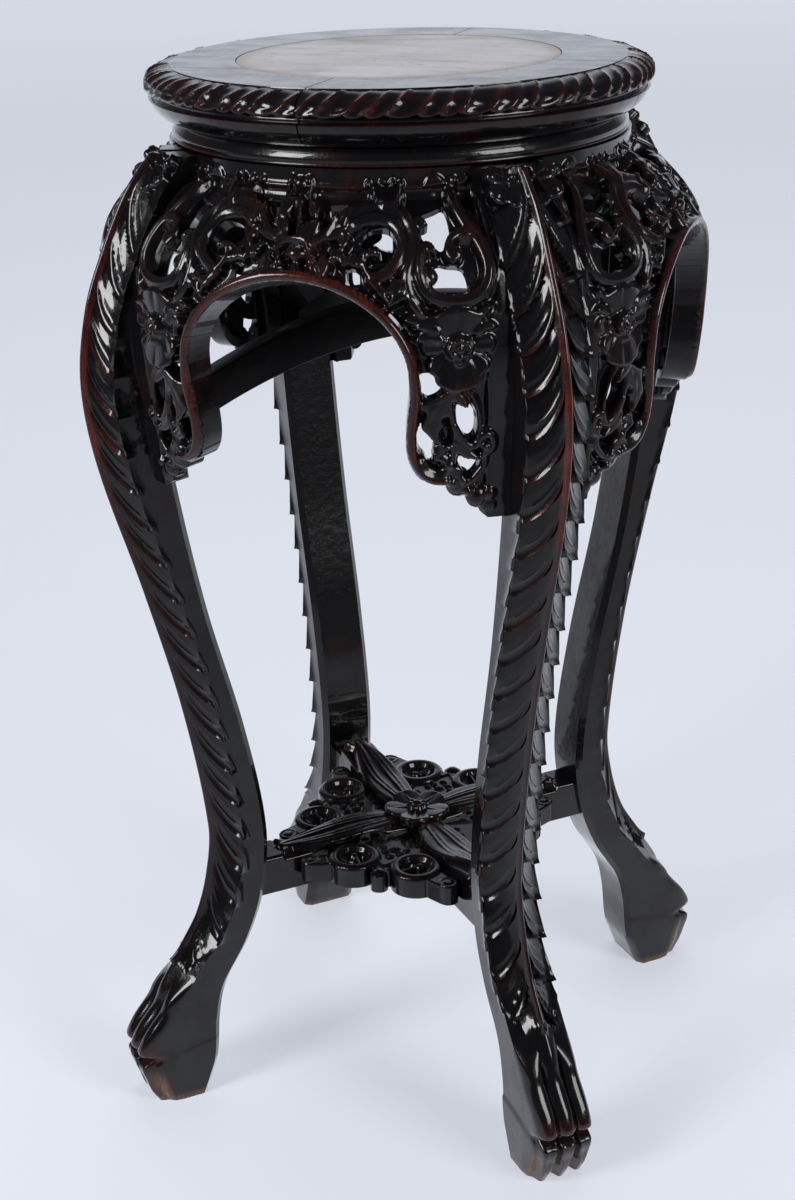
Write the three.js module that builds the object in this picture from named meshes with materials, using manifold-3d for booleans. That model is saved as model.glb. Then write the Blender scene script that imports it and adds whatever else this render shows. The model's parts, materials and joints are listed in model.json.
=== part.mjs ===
// A round marble-top pedestal of dark lacquered hardwood, standing on four cabriole legs with claw feet.
// Units are millimetres, +Z is up, and the origin lies on the floor below the middle of the top.
// The front apron faces -Y, and the four legs stand on the diagonals.
import * as THREE from "three";
import { TessellateModifier } from "three/addons/modifiers/TessellateModifier.js";
import { mergeVertices } from "three/addons/utils/BufferGeometryUtils.js";
import Module from "manifold-3d";

// Fits
const gap = 0.3; // left between pieces that touch, a glue line
const tenonPlay = 0.3; // left round a tenon in its mortise

// Marble
const topHeight = 914; // floor to the top of the marble
const marbleRadius = 131;
const marbleThickness = 16;
const marbleBevel = 1.2;
const marbleLedge = 18; // width of the rebate that the marble lies on

// Waist, the bulging band below the top frame; the aprons and legs are placed from its radius
const waistRadius = 186;
const waistHeight = 13.5;
const waistWidth = 30; // from its face to its inner side
const waistBulge = 2.5;
const waistJoints = [-115, -27, 63, 153]; // degrees

// Top frame, a ring of four segments with a thick rounded edge over a hollow moulding
const frameThickness = 43;
const frameReach = waistRadius + 21; // widest radius of the rounded edge
const frameFlat = 21.5; // from the widest radius in to where the flat top starts
const edgeHeight = 19.5; // height of the rounded edge
const edgeFillet = 8; // how far the groove under the rounded edge is set in
const lipSet = 4; // how far the thin lip of the hollow moulding is set in
const lipHeight = 18; // from the underside of the frame up to the lip
const lipThickness = 1.5;
const hollowSet = 25; // from the widest radius in to the foot of the hollow moulding
// Each joint has its angle in degrees at the marble, and its lean in degrees per millimetre of radius.
const frameJoints = [
  { at: -91.5, lean: 0 },
  { at: -3.5, lean: 0 },
  { at: 89, lean: 0 },
  { at: 225, lean: -0.24 },
];
const ringFacets = 48; // round the whole frame or waist

// Legs
const legWidth = 52;
const legRib = 5; // width of the smooth rib on the ridge of the V-shaped front
const legBackChamfer = 5;
const footHeight = 260; // height of the foot and ankle, up to the slimmest place
const kneeDepth = 247; // the swelling knee, measured down from the top of the leg
const toeTop = 128; // where the V-shaped front starts to part into three toes
const toeFull = 100; // where the toes are fully formed
const toeHollow = 7; // depth of the grooves between the toes
const toeSide = 9; // fall of the outer toes at the sides of the foot

// Tenons: one at the top of each leg, and one at each end of each bar
const tenonThickness = 14;
const tenonWidth = 24;
const tenonLength = 14;
const legTenonInset = 6; // from the waist's face in to the tenon of the leg

// Aprons
const apronThickness = 25;
const apronPlanRadius = 250; // radius on which the arc lengths of the pattern are measured
const friezeStep = 3; // the plain strip under the waist stands this far out of it
const friezeHeight = 19;
const friezeLip = 10; // how far the lip under the strip reaches out of it
const earJoint = 120; // from the apron's top edge down to the glued joint above the ears
const archHalfWidth = 90;
const archCrown = 71; // from the apron's top edge down to the crown of the arch
const archSpring = 142; // from the apron's top edge down to where the arch springs
const archBead = 8; // width of the moulded bead along the arch
const scrollBand = 7; // width of the raised scroll bands
const reliefHeight = 3; // how far beads, bands and flowers stand out of the face
const flowerRadius = 21;
const flowerPetals = 5;
const patternFacet = 80; // longest edge up the bowed face
const facetStretch = 1.4; // edges along the face, where it bends less, are this much longer

// Upper brace under the top: two arched bars half-lapped in a cross
const braceCrown = 686; // underside at the middle
const braceFall = 61; // how much lower the underside lies at the legs
const braceDepth = 32;
const braceWidth = 22;

// Lower stretcher: two carved bars half-lapped in a cross, with a scroll panel in each quadrant
const barTop = 222;
const barDepth = 36;
const barWidth = 34;
const leafLength = 142; // from the middle to the tips of the carved leaves
const leafRise = [3, 14]; // how high the leaf tips of each bar turn up
const blossomRadius = 21;
const blossomRise = 7;
const panelTop = 216;
const panelBottom = 198;
const ringOut = 89; // from the middle of the stand out to the ring scrolls
const ringSide = 29.5; // from the middle of a panel to each ring scroll
const ringRadius = 22;
const ringRise = 3; // how far the rings stand over the panel
const dishRadius = 15.5;
const dishDepth = 8;
const dishBead = 5;
const knobOut = 106;
const knobSide = 61;
const knobRadius = 8;
const lobeOut = 103;
const lobeRadius = 7;

const legNames = ["front_left", "front_right", "back_right", "back_left"];
const legAngles = [225, 315, 45, 135];
const sideNames = ["front", "right", "back", "left"];
const sideAngle = 90; // degrees from one side of the stand to the next

const wasm = await Module();
wasm.setup();

const lacquer = new THREE.MeshStandardMaterial({ color: 0x0d0808, roughness: 0.22, metalness: 0 });
const marble = new THREE.MeshStandardMaterial({ color: 0xc9bfb6, roughness: 0.35, metalness: 0 });

// Leaves only positions on a geometry and merges the vertices that lie together.
function bare(geometry) {
  const copy = new THREE.BufferGeometry();
  copy.setAttribute("position", geometry.getAttribute("position"));
  if (geometry.index) copy.setIndex(geometry.index);
  return mergeVertices(copy, 1e-3);
}

function toSolid(geometry) {
  const merged = bare(geometry);
  return new wasm.Manifold(
    new wasm.Mesh({
      numProp: 3,
      vertProperties: merged.attributes.position.array,
      triVerts: new Uint32Array(merged.index.array),
    }),
  );
}

function toGeometry(solid) {
  const mesh = solid.getMesh();
  const geometry = new THREE.BufferGeometry();
  geometry.setAttribute("position", new THREE.BufferAttribute(new Float32Array(mesh.vertProperties), 3));
  geometry.setIndex(new THREE.BufferAttribute(new Uint32Array(mesh.triVerts), 1));
  return geometry;
}

// Turns every face over if the geometry is inside out.
function facedOut(geometry) {
  const index = geometry.index.array;
  const corner = [new THREE.Vector3(), new THREE.Vector3(), new THREE.Vector3()];
  let volume = 0;
  for (let i = 0; i < index.length; i += 3) {
    corner.forEach((point, k) => point.fromBufferAttribute(geometry.attributes.position, index[i + k]));
    volume += corner[0].dot(corner[1].cross(corner[2]));
  }
  if (volume < 0) {
    for (let i = 0; i < index.length; i += 3) [index[i + 1], index[i + 2]] = [index[i + 2], index[i + 1]];
  }
  return geometry;
}

// A closed surface through rings of points, with flat ends of the given section.
function loft(rings, section) {
  const count = section.length;
  const index = [];
  for (let ring = 0; ring + 1 < rings.length; ring++) {
    for (let i = 0; i < count; i++) {
      const a = ring * count + i;
      const b = ring * count + ((i + 1) % count);
      index.push(a, b, a + count, b, b + count, a + count);
    }
  }
  const last = (rings.length - 1) * count;
  for (const [a, b, c] of THREE.ShapeUtils.triangulateShape(section, [])) {
    index.push(a, c, b, last + a, last + b, last + c);
  }
  const geometry = new THREE.BufferGeometry().setFromPoints(rings.flat());
  geometry.setIndex(index);
  return facedOut(geometry);
}

// A profile of radius and height, anticlockwise, carried round the axis from one joint to the next. A joint may lean,
// so its angle changes with the radius.
function ringSegment(profile, from, to, innerRadius) {
  const angleAt = (joint, radius, side) =>
    THREE.MathUtils.degToRad(joint.at + joint.lean * (radius - innerRadius)) + (side * gap) / 2 / innerRadius;
  const steps = Math.round((ringFacets * (to.at - from.at)) / 360);
  const rings = [];
  for (let k = 0; k <= steps; k++) {
    rings.push(
      profile.map((p) => {
        const angle = THREE.MathUtils.lerp(angleAt(from, p.x, 1), angleAt(to, p.x, -1), k / steps);
        return new THREE.Vector3(p.x * Math.cos(angle), p.x * Math.sin(angle), p.y);
      }),
    );
  }
  return loft(rings, profile);
}

// The next joint round a ring, a full turn on after the last one.
const nextJoint = (joints, i) =>
  i + 1 < joints.length ? joints[i + 1] : { at: joints[0].at + 360, lean: joints[0].lean };

// A smooth curve through points of [height, value], as a function of the height.
function curveThrough(points) {
  const last = points.length - 1;
  const slope = (i) => {
    const [z0, v0] = points[Math.max(i - 1, 0)];
    const [z1, v1] = points[Math.min(i + 1, last)];
    return (v1 - v0) / (z1 - z0);
  };
  return (height) => {
    const at = THREE.MathUtils.clamp(height, points[0][0], points[last][0]);
    let k = 0;
    while (k < last - 1 && at > points[k + 1][0]) k++;
    const [z0, v0] = points[k];
    const [z1, v1] = points[k + 1];
    const span = z1 - z0;
    const u = (at - z0) / span;
    const rise = u * u * (3 - 2 * u);
    const fromStart = u * (1 - u) * (1 - u) * span * slope(k);
    const fromEnd = u * u * (u - 1) * span * slope(k + 1);
    return v0 + (v1 - v0) * rise + fromStart + fromEnd;
  };
}

const group = new THREE.Group();
function add(name, geometry, material) {
  const mesh = new THREE.Mesh(geometry, material);
  mesh.name = name;
  group.add(mesh);
}

// A box between two corners.
function block(low, high) {
  const size = high.map((v, i) => v - low[i]);
  const middle = high.map((v, i) => (v + low[i]) / 2);
  return toSolid(new THREE.BoxGeometry(...size).translate(...middle));
}

// An upright cylinder or cone on a point of the floor plan.
function drum(x, y, low, high, lowRadius, highRadius, facets) {
  const geometry = new THREE.CylinderGeometry(highRadius, lowRadius, high - low, facets);
  return toSolid(geometry.rotateX(Math.PI / 2).translate(x, y, (low + high) / 2));
}

const turnedSolid = (solid, degrees) => solid.rotate([0, 0, degrees]);

// Marble disc
const marbleBottom = topHeight - marbleThickness;
const marbleProfile = [
  [0, marbleBottom],
  [marbleRadius - marbleBevel, marbleBottom],
  [marbleRadius, marbleBottom + marbleBevel],
  [marbleRadius, topHeight - marbleBevel],
  [marbleRadius - marbleBevel, topHeight],
  [0, topHeight],
].map(([radius, height]) => new THREE.Vector2(radius, height));
const marbleFacets = 48;
add("marble_disc", facedOut(bare(new THREE.LatheGeometry(marbleProfile, marbleFacets).rotateX(Math.PI / 2))), marble);

// Heights that the pieces share
const frameBottom = topHeight - frameThickness;
const waistTop = frameBottom - gap;
const waistBottom = waistTop - waistHeight;
const legTop = waistBottom - gap;

// The tenon on top of a leg, in the leg's own frame, where +X points out from the axis.
const legTenonOuter = waistRadius - legTenonInset;
function legTenon(play) {
  return block(
    [legTenonOuter - tenonThickness - play, -tenonWidth / 2 - play, legTop - 1],
    [legTenonOuter + play, tenonWidth / 2 + play, frameBottom + tenonLength + play],
  );
}
function withoutLegTenons(solid) {
  return legAngles.reduce((left, angle) => left.subtract(turnedSolid(legTenon(tenonPlay), angle)), solid);
}

// Top frame
const frameInner = marbleRadius + gap;
const ledgeTop = marbleBottom - gap;
const frameOutline = new THREE.Path();
frameOutline.moveTo(frameReach - hollowSet, frameBottom);
frameOutline.quadraticCurveTo(
  frameReach - hollowSet * 0.4,
  frameBottom + lipHeight / 3,
  frameReach - lipSet,
  frameBottom + lipHeight,
);
frameOutline.lineTo(frameReach - lipSet, frameBottom + lipHeight + lipThickness);
frameOutline.lineTo(frameReach - edgeFillet, frameBottom + lipHeight + 2 * lipThickness);
frameOutline.lineTo(frameReach - edgeFillet, topHeight - edgeHeight);
frameOutline.bezierCurveTo(
  frameReach + edgeFillet * 0.5,
  topHeight - edgeHeight,
  frameReach + edgeFillet * 0.5,
  topHeight - 1,
  frameReach - frameFlat,
  topHeight,
);
const frameProfile = [
  ...frameOutline.getPoints(4),
  new THREE.Vector2(frameInner, topHeight),
  new THREE.Vector2(frameInner, ledgeTop),
  new THREE.Vector2(frameInner - marbleLedge, ledgeTop),
  new THREE.Vector2(frameInner - marbleLedge, frameBottom),
];
const frameNames = ["front_right", "back_right", "back_left", "front_left"];
frameJoints.forEach((joint, i) => {
  const segment = ringSegment(frameProfile, joint, nextJoint(frameJoints, i), frameInner);
  add("top_frame_" + frameNames[i], toGeometry(withoutLegTenons(toSolid(segment))), lacquer);
});

// Waist
const waistInner = waistRadius - waistWidth;
const waistProfile = [
  [waistInner, waistBottom],
  [waistRadius - waistBulge, waistBottom],
  [waistRadius, waistBottom + waistHeight * 0.2],
  [waistRadius, waistBottom + waistHeight * 0.5],
  [waistRadius - waistBulge, waistTop],
  [waistInner, waistTop],
].map(([radius, height]) => new THREE.Vector2(radius, height));
const waistEnds = waistJoints.map((at) => ({ at, lean: 0 }));
waistEnds.forEach((joint, i) => {
  const segment = ringSegment(waistProfile, joint, nextJoint(waistEnds, i), waistInner);
  add("waist_" + sideNames[i], toGeometry(withoutLegTenons(toSolid(segment))), lacquer);
});

// Legs: curves give the ridge, the fall from the ridge to the sides, and the back. Ridge and back are
// distances out from the waist's face. The foot's points are heights above the floor, the calf's are shares of
// the way from the foot to the knee, and the knee's are depths below the top of the leg.
function legCurve(foot, calf, knee) {
  const kneeHeight = legTop - kneeDepth;
  return curveThrough([
    ...foot,
    ...calf.map(([share, value]) => [THREE.MathUtils.lerp(footHeight, kneeHeight, share), value]),
    ...knee.map(([depth, value]) => [legTop - depth, value]),
  ]);
}
const ridgeOut = legCurve(
  [
    [0, 92],
    [12, 99],
    [25, 103],
    [40, 107],
    [47, 101],
    [54, 108],
    [60, 107],
    [72, 100],
    [92, 84],
    [112, 75],
    [148, 51],
    [175, 35],
    [214, 23],
    [footHeight, 18],
  ],
  [
    [0.34, 32],
    [0.67, 58],
  ],
  [
    [kneeDepth, 90],
    [177, 98],
    [117, 89],
    [73, 72],
    [28, 49],
    [0, 26],
  ],
);
const shoulderFall = legCurve(
  [
    [0, 12],
    [150, 18],
  ],
  [[0.5, 19]],
  [
    [kneeDepth, 16],
    [0, 15],
  ],
);
const backOut = legCurve(
  [
    [0, 46],
    [15, 40],
    [35, 33],
    [80, 28],
    [110, 21],
    [150, -2],
    [196, -18],
    [footHeight, -23],
  ],
  [
    [0.29, -8],
    [0.63, 19],
  ],
  [
    [kneeDepth, 39],
    [147, 47],
    [107, 42],
    [57, 14],
    [0, -26],
  ],
);
const legHeights = [0, 12, 25, 40, 47, 54, 66, 82, 98, 114, 132, 155, 185, 220, footHeight];
const legSteps = 11; // rings above the foot
for (let k = 1; k <= legSteps; k++) legHeights.push(THREE.MathUtils.lerp(footHeight, legTop, k / legSteps));

// One side of the front as [share of the half width, drop of the V-shape, drop of the toes].
const frontPoints = [
  [legRib / legWidth, 0, 0],
  [1 / 3, 1 / 3, toeHollow],
  [2 / 3, 2 / 3, 1],
  [1, 1, toeSide],
];
function legSection(height, grow) {
  const half = legWidth / 2 + grow;
  const rear = waistRadius + backOut(height) - grow;
  const toes = 1 - THREE.MathUtils.smoothstep(height, toeFull, toeTop);
  const side = frontPoints.map(([share, vShare, toeDrop]) => {
    const drop = THREE.MathUtils.lerp(vShare * shoulderFall(height), toeDrop, toes);
    return [waistRadius + ridgeOut(height) - drop + grow, share * half];
  });
  const right = [...side, [rear + legBackChamfer, half], [rear, half - legBackChamfer]];
  const left = right.map(([radius, across]) => [radius, -across]).reverse();
  return [...left, ...right].map(([radius, across]) => new THREE.Vector2(radius, across));
}
function legSolid(grow) {
  const rings = legHeights.map((z) => legSection(z, grow).map((p) => new THREE.Vector3(p.x, p.y, z)));
  return toSolid(loft(rings, legSection(0, grow)));
}
const legBody = legSolid(0);
const legClearance = legSolid(gap);

// The tenon at the end of a bar that meets the leg at a height, with its length measured from the leg's back.
function barTenon(middle, play) {
  const rear = waistRadius + backOut(middle);
  return block(
    [rear - tenonLength, -tenonThickness / 2 - play, middle - tenonWidth / 2 - play],
    [rear + tenonLength + play, tenonThickness / 2 + play, middle + tenonWidth / 2 + play],
  );
}
const braceMiddle = braceCrown - braceFall + braceDepth / 2; // height at the legs
const barMiddle = barTop - barDepth / 2;
const leg = legBody
  .subtract(barTenon(braceMiddle, tenonPlay))
  .subtract(barTenon(barMiddle, tenonPlay))
  .add(legTenon(0));
legAngles.forEach((angle, i) => add("leg_" + legNames[i], toGeometry(turnedSolid(leg, angle)), lacquer));

// Aprons: the pattern is drawn flat, as arc length from the middle and drop below the top edge, then
// bent onto a face that swells out between the legs. The curve gives the face's distance out of the waist.
const apronTop = legTop;
const apronOut = curveThrough([
  [friezeHeight, 17],
  [37, 37],
  [52, 51],
  [68, 62],
  [92, 69],
  [earJoint, 72],
  [157, 71],
  [197, 65],
  [232, 61],
  [270, 58],
]);
function bowed(arc, drop, depth) {
  const slope = (apronOut(drop + 1) - apronOut(drop - 1)) / 2;
  const length = Math.hypot(1, slope);
  const radius = waistRadius + apronOut(drop) - depth / length;
  const angle = arc / apronPlanRadius - Math.PI / 2;
  return new THREE.Vector3(radius * Math.cos(angle), radius * Math.sin(angle), apronTop - drop - (depth * slope) / length);
}

// A flat shape of the pattern as a prism, from one depth behind the face to another.
// A negative depth stands out of the face.
function prism(shape, front, behind) {
  const flat = new THREE.ExtrudeGeometry(shape, { depth: behind - front, bevelEnabled: false, curveSegments: 1 });
  return toSolid(flat.translate(0, 0, front));
}

// Bends a flat solid onto the face, after its long edges are split.
function bent(solid) {
  const splitter = new TessellateModifier(patternFacet, 12);
  const flat = toGeometry(solid).scale(1 / facetStretch, 1, 1);
  const fine = splitter.modify(flat).scale(facetStretch, 1, 1);
  const position = fine.attributes.position;
  for (let i = 0; i < position.count; i++) {
    const p = bowed(position.getX(i), position.getY(i), position.getZ(i));
    position.setXYZ(i, p.x, p.y, p.z);
  }
  return toSolid(facedOut(bare(fine)));
}

// The right half of the lower edge of an apron, from the crown of the arch out to the leg.
const archSteps = 8;
const earOutline = [
  [90, 157],
  [87, 182],
  [87, 197],
  [89, 209],
  [95, 219],
  [105, 225],
  [112, 227],
  [118, 226],
  [124, 233],
  [130, 238],
  [137, 238],
  [143, 244],
  [150, 247],
  [155, 254],
  [158, 257],
];
const rightEdge = [];
for (let k = 0; k <= archSteps; k++) {
  const angle = (Math.PI / 2) * (k / archSteps);
  rightEdge.push([archHalfWidth * Math.sin(angle), archSpring - (archSpring - archCrown) * Math.cos(angle)]);
}
rightEdge.push(...earOutline);
const apronReach = 195; // arc length past the middle of the legs
const vectors = (points) => points.map(([x, y]) => new THREE.Vector2(x, y));
const mirrored = (points) => points.map(([x, y]) => [-x, y]).reverse();

// Openings of the right half of the pattern, from the middle of the apron out to the leg.
const openings = {
  underFrieze: [[21, 22], [38, 20], [55, 21], [44, 29], [28, 30]],
  scrollEye: [[51, 43], [60, 35], [74, 36], [81, 46], [77, 57], [60, 53]],
  aboveArch: [[43, 61], [53, 62], [54, 71], [45, 68]],
  besideArch: [[75, 92], [83, 94], [85, 103], [79, 101]],
  besideLeg: [[107, 28], [117, 23], [127, 26], [127, 40], [122, 51], [111, 43]],
  ringEye: [[112, 61], [125, 60], [135, 66], [136, 83], [122, 81], [110, 74]],
  earTop: [[99, 139], [109, 139], [117, 155], [110, 161], [101, 156]],
  earInner: [[99, 174], [113, 192], [108, 204], [99, 203], [95, 190]],
  earOuter: [[128, 163], [137, 164], [142, 177], [136, 190], [127, 178]],
  earFoot: [[128, 203], [138, 202], [142, 214], [133, 222], [127, 215]],
};
function apronShape() {
  const corner = [apronReach, rightEdge[rightEdge.length - 1][1]];
  const outline = [...mirrored(rightEdge), ...rightEdge.slice(1), corner];
  outline.push([apronReach, friezeHeight], [-apronReach, friezeHeight], [-apronReach, corner[1]]);
  const shape = new THREE.Shape(vectors(outline));
  for (const points of Object.values(openings)) {
    shape.holes.push(new THREE.Path(vectors(points)), new THREE.Path(vectors(mirrored(points))));
  }
  return shape;
}

// A strip of even width along a line of points, on one side of it or on both.
function strip(points, left, right) {
  const line = vectors(points);
  const offset = (distance) =>
    line.map((p, i) => {
      const ahead = line[Math.min(i + 1, line.length - 1)];
      const behind = line[Math.max(i - 1, 0)];
      const along = ahead.clone().sub(behind).normalize();
      return new THREE.Vector2(p.x + along.y * distance, p.y - along.x * distance);
    });
  return new THREE.Shape([...offset(left), ...offset(-right).reverse()]);
}

// Scroll bands that stand out of the right half of the face, as the middle lines of the bands.
const scrolls = {
  innerScroll: [[40, 33], [58, 29], [78, 28], [88, 40], [87, 55], [77, 69], [62, 68]],
  outerScroll: [[124, 55], [137, 49], [147, 62], [147, 80], [128, 90], [108, 86]],
};
const flowerPlace = [127, 114];
function flowerShape(side) {
  const points = [];
  for (let k = 0; k < 2 * flowerPetals; k++) {
    const angle = (Math.PI * k) / flowerPetals;
    const radius = k % 2 ? flowerRadius * 0.6 : flowerRadius;
    points.push([side * flowerPlace[0] + radius * Math.sin(angle), flowerPlace[1] - radius * Math.cos(angle)]);
  }
  return new THREE.Shape(vectors(points));
}

const friezeRadius = waistRadius + friezeStep;
function friezeSolid() {
  const bottom = apronTop - friezeHeight;
  const profile = vectors([
    [friezeRadius - apronThickness, bottom],
    [friezeRadius, bottom - apronThickness / 2],
    [friezeRadius + friezeLip, bottom],
    [friezeRadius, bottom + friezeLip / 2],
    [friezeRadius, apronTop],
    [friezeRadius - apronThickness, apronTop],
  ]);
  const ends = [-135, -45].map((at) => ({ at, lean: 0 }));
  return toSolid(ringSegment(profile, ends[0], ends[1], friezeRadius));
}
function flatApron() {
  const embedded = reliefHeight; // how deep the raised parts start behind the face
  let flat = prism(apronShape(), 0, apronThickness);
  const beadEnd = rightEdge.length - 8;
  const beadLine = [...mirrored(rightEdge.slice(0, beadEnd)), ...rightEdge.slice(1, beadEnd)];
  flat = flat.add(prism(strip(beadLine, archBead, 0), -reliefHeight, embedded));
  for (const line of Object.values(scrolls)) {
    for (const points of [line, mirrored(line)]) {
      flat = flat.add(prism(strip(points, scrollBand / 2, scrollBand / 2), -reliefHeight, embedded));
    }
  }
  for (const side of [1, -1]) flat = flat.add(prism(flowerShape(side), -2 * reliefHeight, embedded));
  return flat;
}
const far = 2 * frameReach;
function withoutLegs(solid) {
  const slot = block([0, -legWidth / 2 - gap, 0], [far, legWidth / 2 + gap, topHeight]);
  return legAngles.slice(0, 2).reduce((left, angle) => left.subtract(turnedSolid(slot, angle)), solid);
}
const pattern = flatApron();
const archHalf = pattern.intersect(block([-far, -far, -far], [far, earJoint - gap / 2, far]));
const earHalf = pattern.intersect(block([-far, earJoint + gap / 2, -far], [far, far, far]));
const arch = withoutLegs(bent(archHalf).add(friezeSolid()));
const ears = withoutLegs(bent(earHalf))
  .decompose()
  .sort((a, b) => a.boundingBox().min[0] - b.boundingBox().min[0]);
sideNames.forEach((name, i) => {
  const angle = i * sideAngle;
  add("apron_arch_" + name, toGeometry(turnedSolid(arch, angle)), lacquer);
  add("apron_ear_" + name + "_left", toGeometry(turnedSolid(ears[0], angle)), lacquer);
  add("apron_ear_" + name + "_right", toGeometry(turnedSolid(ears[ears.length - 1], angle)), lacquer);
});

// Fits a bar between two opposite legs: shoulders scribed to their backs, tenons, and a half lap at the middle.
function fittedBar(bar, width, middle, lapLow, lapHigh) {
  let solid = bar.subtract(block([-width / 2 - gap, -width, lapLow], [width / 2 + gap, width, lapHigh]));
  for (const end of [0, 180]) solid = solid.subtract(turnedSolid(legClearance, end));
  const inner = solid.decompose().sort((a, b) => b.volume() - a.volume())[0];
  return [0, 180].reduce((whole, end) => whole.add(turnedSolid(barTenon(middle, 0), end)), inner);
}

// A shape drawn as radius and height, extruded across to the width of a bar.
function barFrom(shape, width, curveSegments) {
  const flat = new THREE.ExtrudeGeometry(shape, { depth: width, bevelEnabled: false, curveSegments });
  return toSolid(flat.rotateX(Math.PI / 2).translate(0, width / 2, 0));
}

// Upper brace
function braceBar() {
  const reach = waistRadius + backOut(braceMiddle) + gap;
  const low = braceCrown - braceFall;
  const shape = new THREE.Shape();
  shape.moveTo(-reach, low);
  shape.quadraticCurveTo(0, braceCrown + braceFall, reach, low);
  shape.lineTo(reach, low + braceDepth);
  shape.quadraticCurveTo(0, braceCrown + braceFall + braceDepth, -reach, low + braceDepth);
  return barFrom(shape, braceWidth, 12);
}
const braceLap = braceCrown + braceDepth / 2;
const lowerBrace = fittedBar(braceBar(), braceWidth, braceMiddle, braceLap - gap / 2, far + braceLap);
const upperBrace = fittedBar(braceBar(), braceWidth, braceMiddle, 0, braceLap + gap / 2);
add("upper_brace_lower", toGeometry(turnedSolid(lowerBrace, 45)), lacquer);
add("upper_brace_upper", toGeometry(turnedSolid(upperBrace, 135)), lacquer);

// Lower stretcher bars: a carved leaf runs out from the middle, and its tip turns up before the plain end.
function stretcherBar(rise) {
  const reach = waistRadius + backOut(barMiddle) + gap;
  const bottom = barTop - barDepth;
  const shape = new THREE.Shape();
  shape.moveTo(-reach, bottom);
  shape.lineTo(reach, bottom);
  shape.lineTo(reach, barTop);
  for (const side of [1, -1]) {
    const leaf = [
      [leafLength + rise / 2, barTop],
      [leafLength, barTop + rise],
      [leafLength * 0.9, barTop + rise],
      [leafLength * 0.7, barTop + rise * 0.4],
      [leafLength * 0.4, barTop],
    ];
    if (side < 0) leaf.reverse();
    for (const [radius, height] of leaf) shape.lineTo(side * radius, height);
  }
  shape.lineTo(-reach, barTop);
  return barFrom(shape, barWidth, 1);
}
const barLap = barTop - barDepth / 2;
const blossomFacets = 12;
const blossomStem = drum(0, 0, barLap + 1, barTop + 1, barWidth / 2 - 1, barWidth / 2 - 1, blossomFacets);
const blossomHead = drum(0, 0, barTop + gap, barTop + blossomRise, blossomRadius, blossomRadius / 2, blossomFacets);
const lowerBar = fittedBar(stretcherBar(leafRise[1]), barWidth, barMiddle, barLap - gap / 2, far);
const upperBar = fittedBar(stretcherBar(leafRise[0]), barWidth, barMiddle, 0, barLap + gap / 2);
add("stretcher_bar_lower", toGeometry(turnedSolid(lowerBar, 135)), lacquer);
add("stretcher_bar_upper", toGeometry(turnedSolid(upperBar.add(blossomStem).add(blossomHead), 45)), lacquer);

// Scroll panels: a web between the bars with two dished rings, a knob beside each, and a lobe between them.
function scrollPanel() {
  const corner = ringOut - ringSide / 2;
  const web = new THREE.Shape(
    vectors([
      [0, barWidth / 2],
      [corner, corner + barWidth / 2],
      [knobSide, knobOut],
      [ringSide, ringOut],
      [0, lobeOut],
      [-ringSide, ringOut],
      [-knobSide, knobOut],
      [-corner, corner + barWidth / 2],
    ]),
  );
  const flat = new THREE.ExtrudeGeometry(web, { depth: panelTop - panelBottom, bevelEnabled: false });
  let solid = toSolid(flat.translate(0, 0, panelBottom));
  solid = solid.add(drum(0, lobeOut, panelBottom, panelTop, lobeRadius, lobeRadius, 8));
  for (const side of [1, -1]) {
    const x = side * ringSide;
    const rim = panelTop + ringRise;
    solid = solid.add(drum(side * knobSide, knobOut, panelBottom, panelTop, knobRadius, knobRadius, 8));
    solid = solid.add(drum(x, ringOut, panelBottom, rim, ringRadius, ringRadius, 18));
    solid = solid.subtract(drum(x, ringOut, rim - dishDepth, rim + dishDepth, dishRadius / 2, dishRadius * 1.5, 12));
    solid = solid.add(drum(x, ringOut, rim - 2 * dishDepth, rim - dishDepth / 4, dishBead, dishBead / 2, 6));
  }
  const slot = block([-far, -barWidth / 2 - gap, 0], [far, barWidth / 2 + gap, topHeight]);
  for (const angle of [45, 135]) solid = solid.subtract(turnedSolid(slot, angle));
  const kept = solid.decompose().sort((a, b) => b.volume() - a.volume())[0];
  return turnedSolid(kept, 180);
}
const panel = scrollPanel();
sideNames.forEach((name, i) => {
  add("stretcher_scroll_" + name, toGeometry(turnedSolid(panel, i * sideAngle)), lacquer);
});

export default group;
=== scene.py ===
import json
import math
import bpy
import numpy as np
from mathutils import Matrix, Vector

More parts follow.
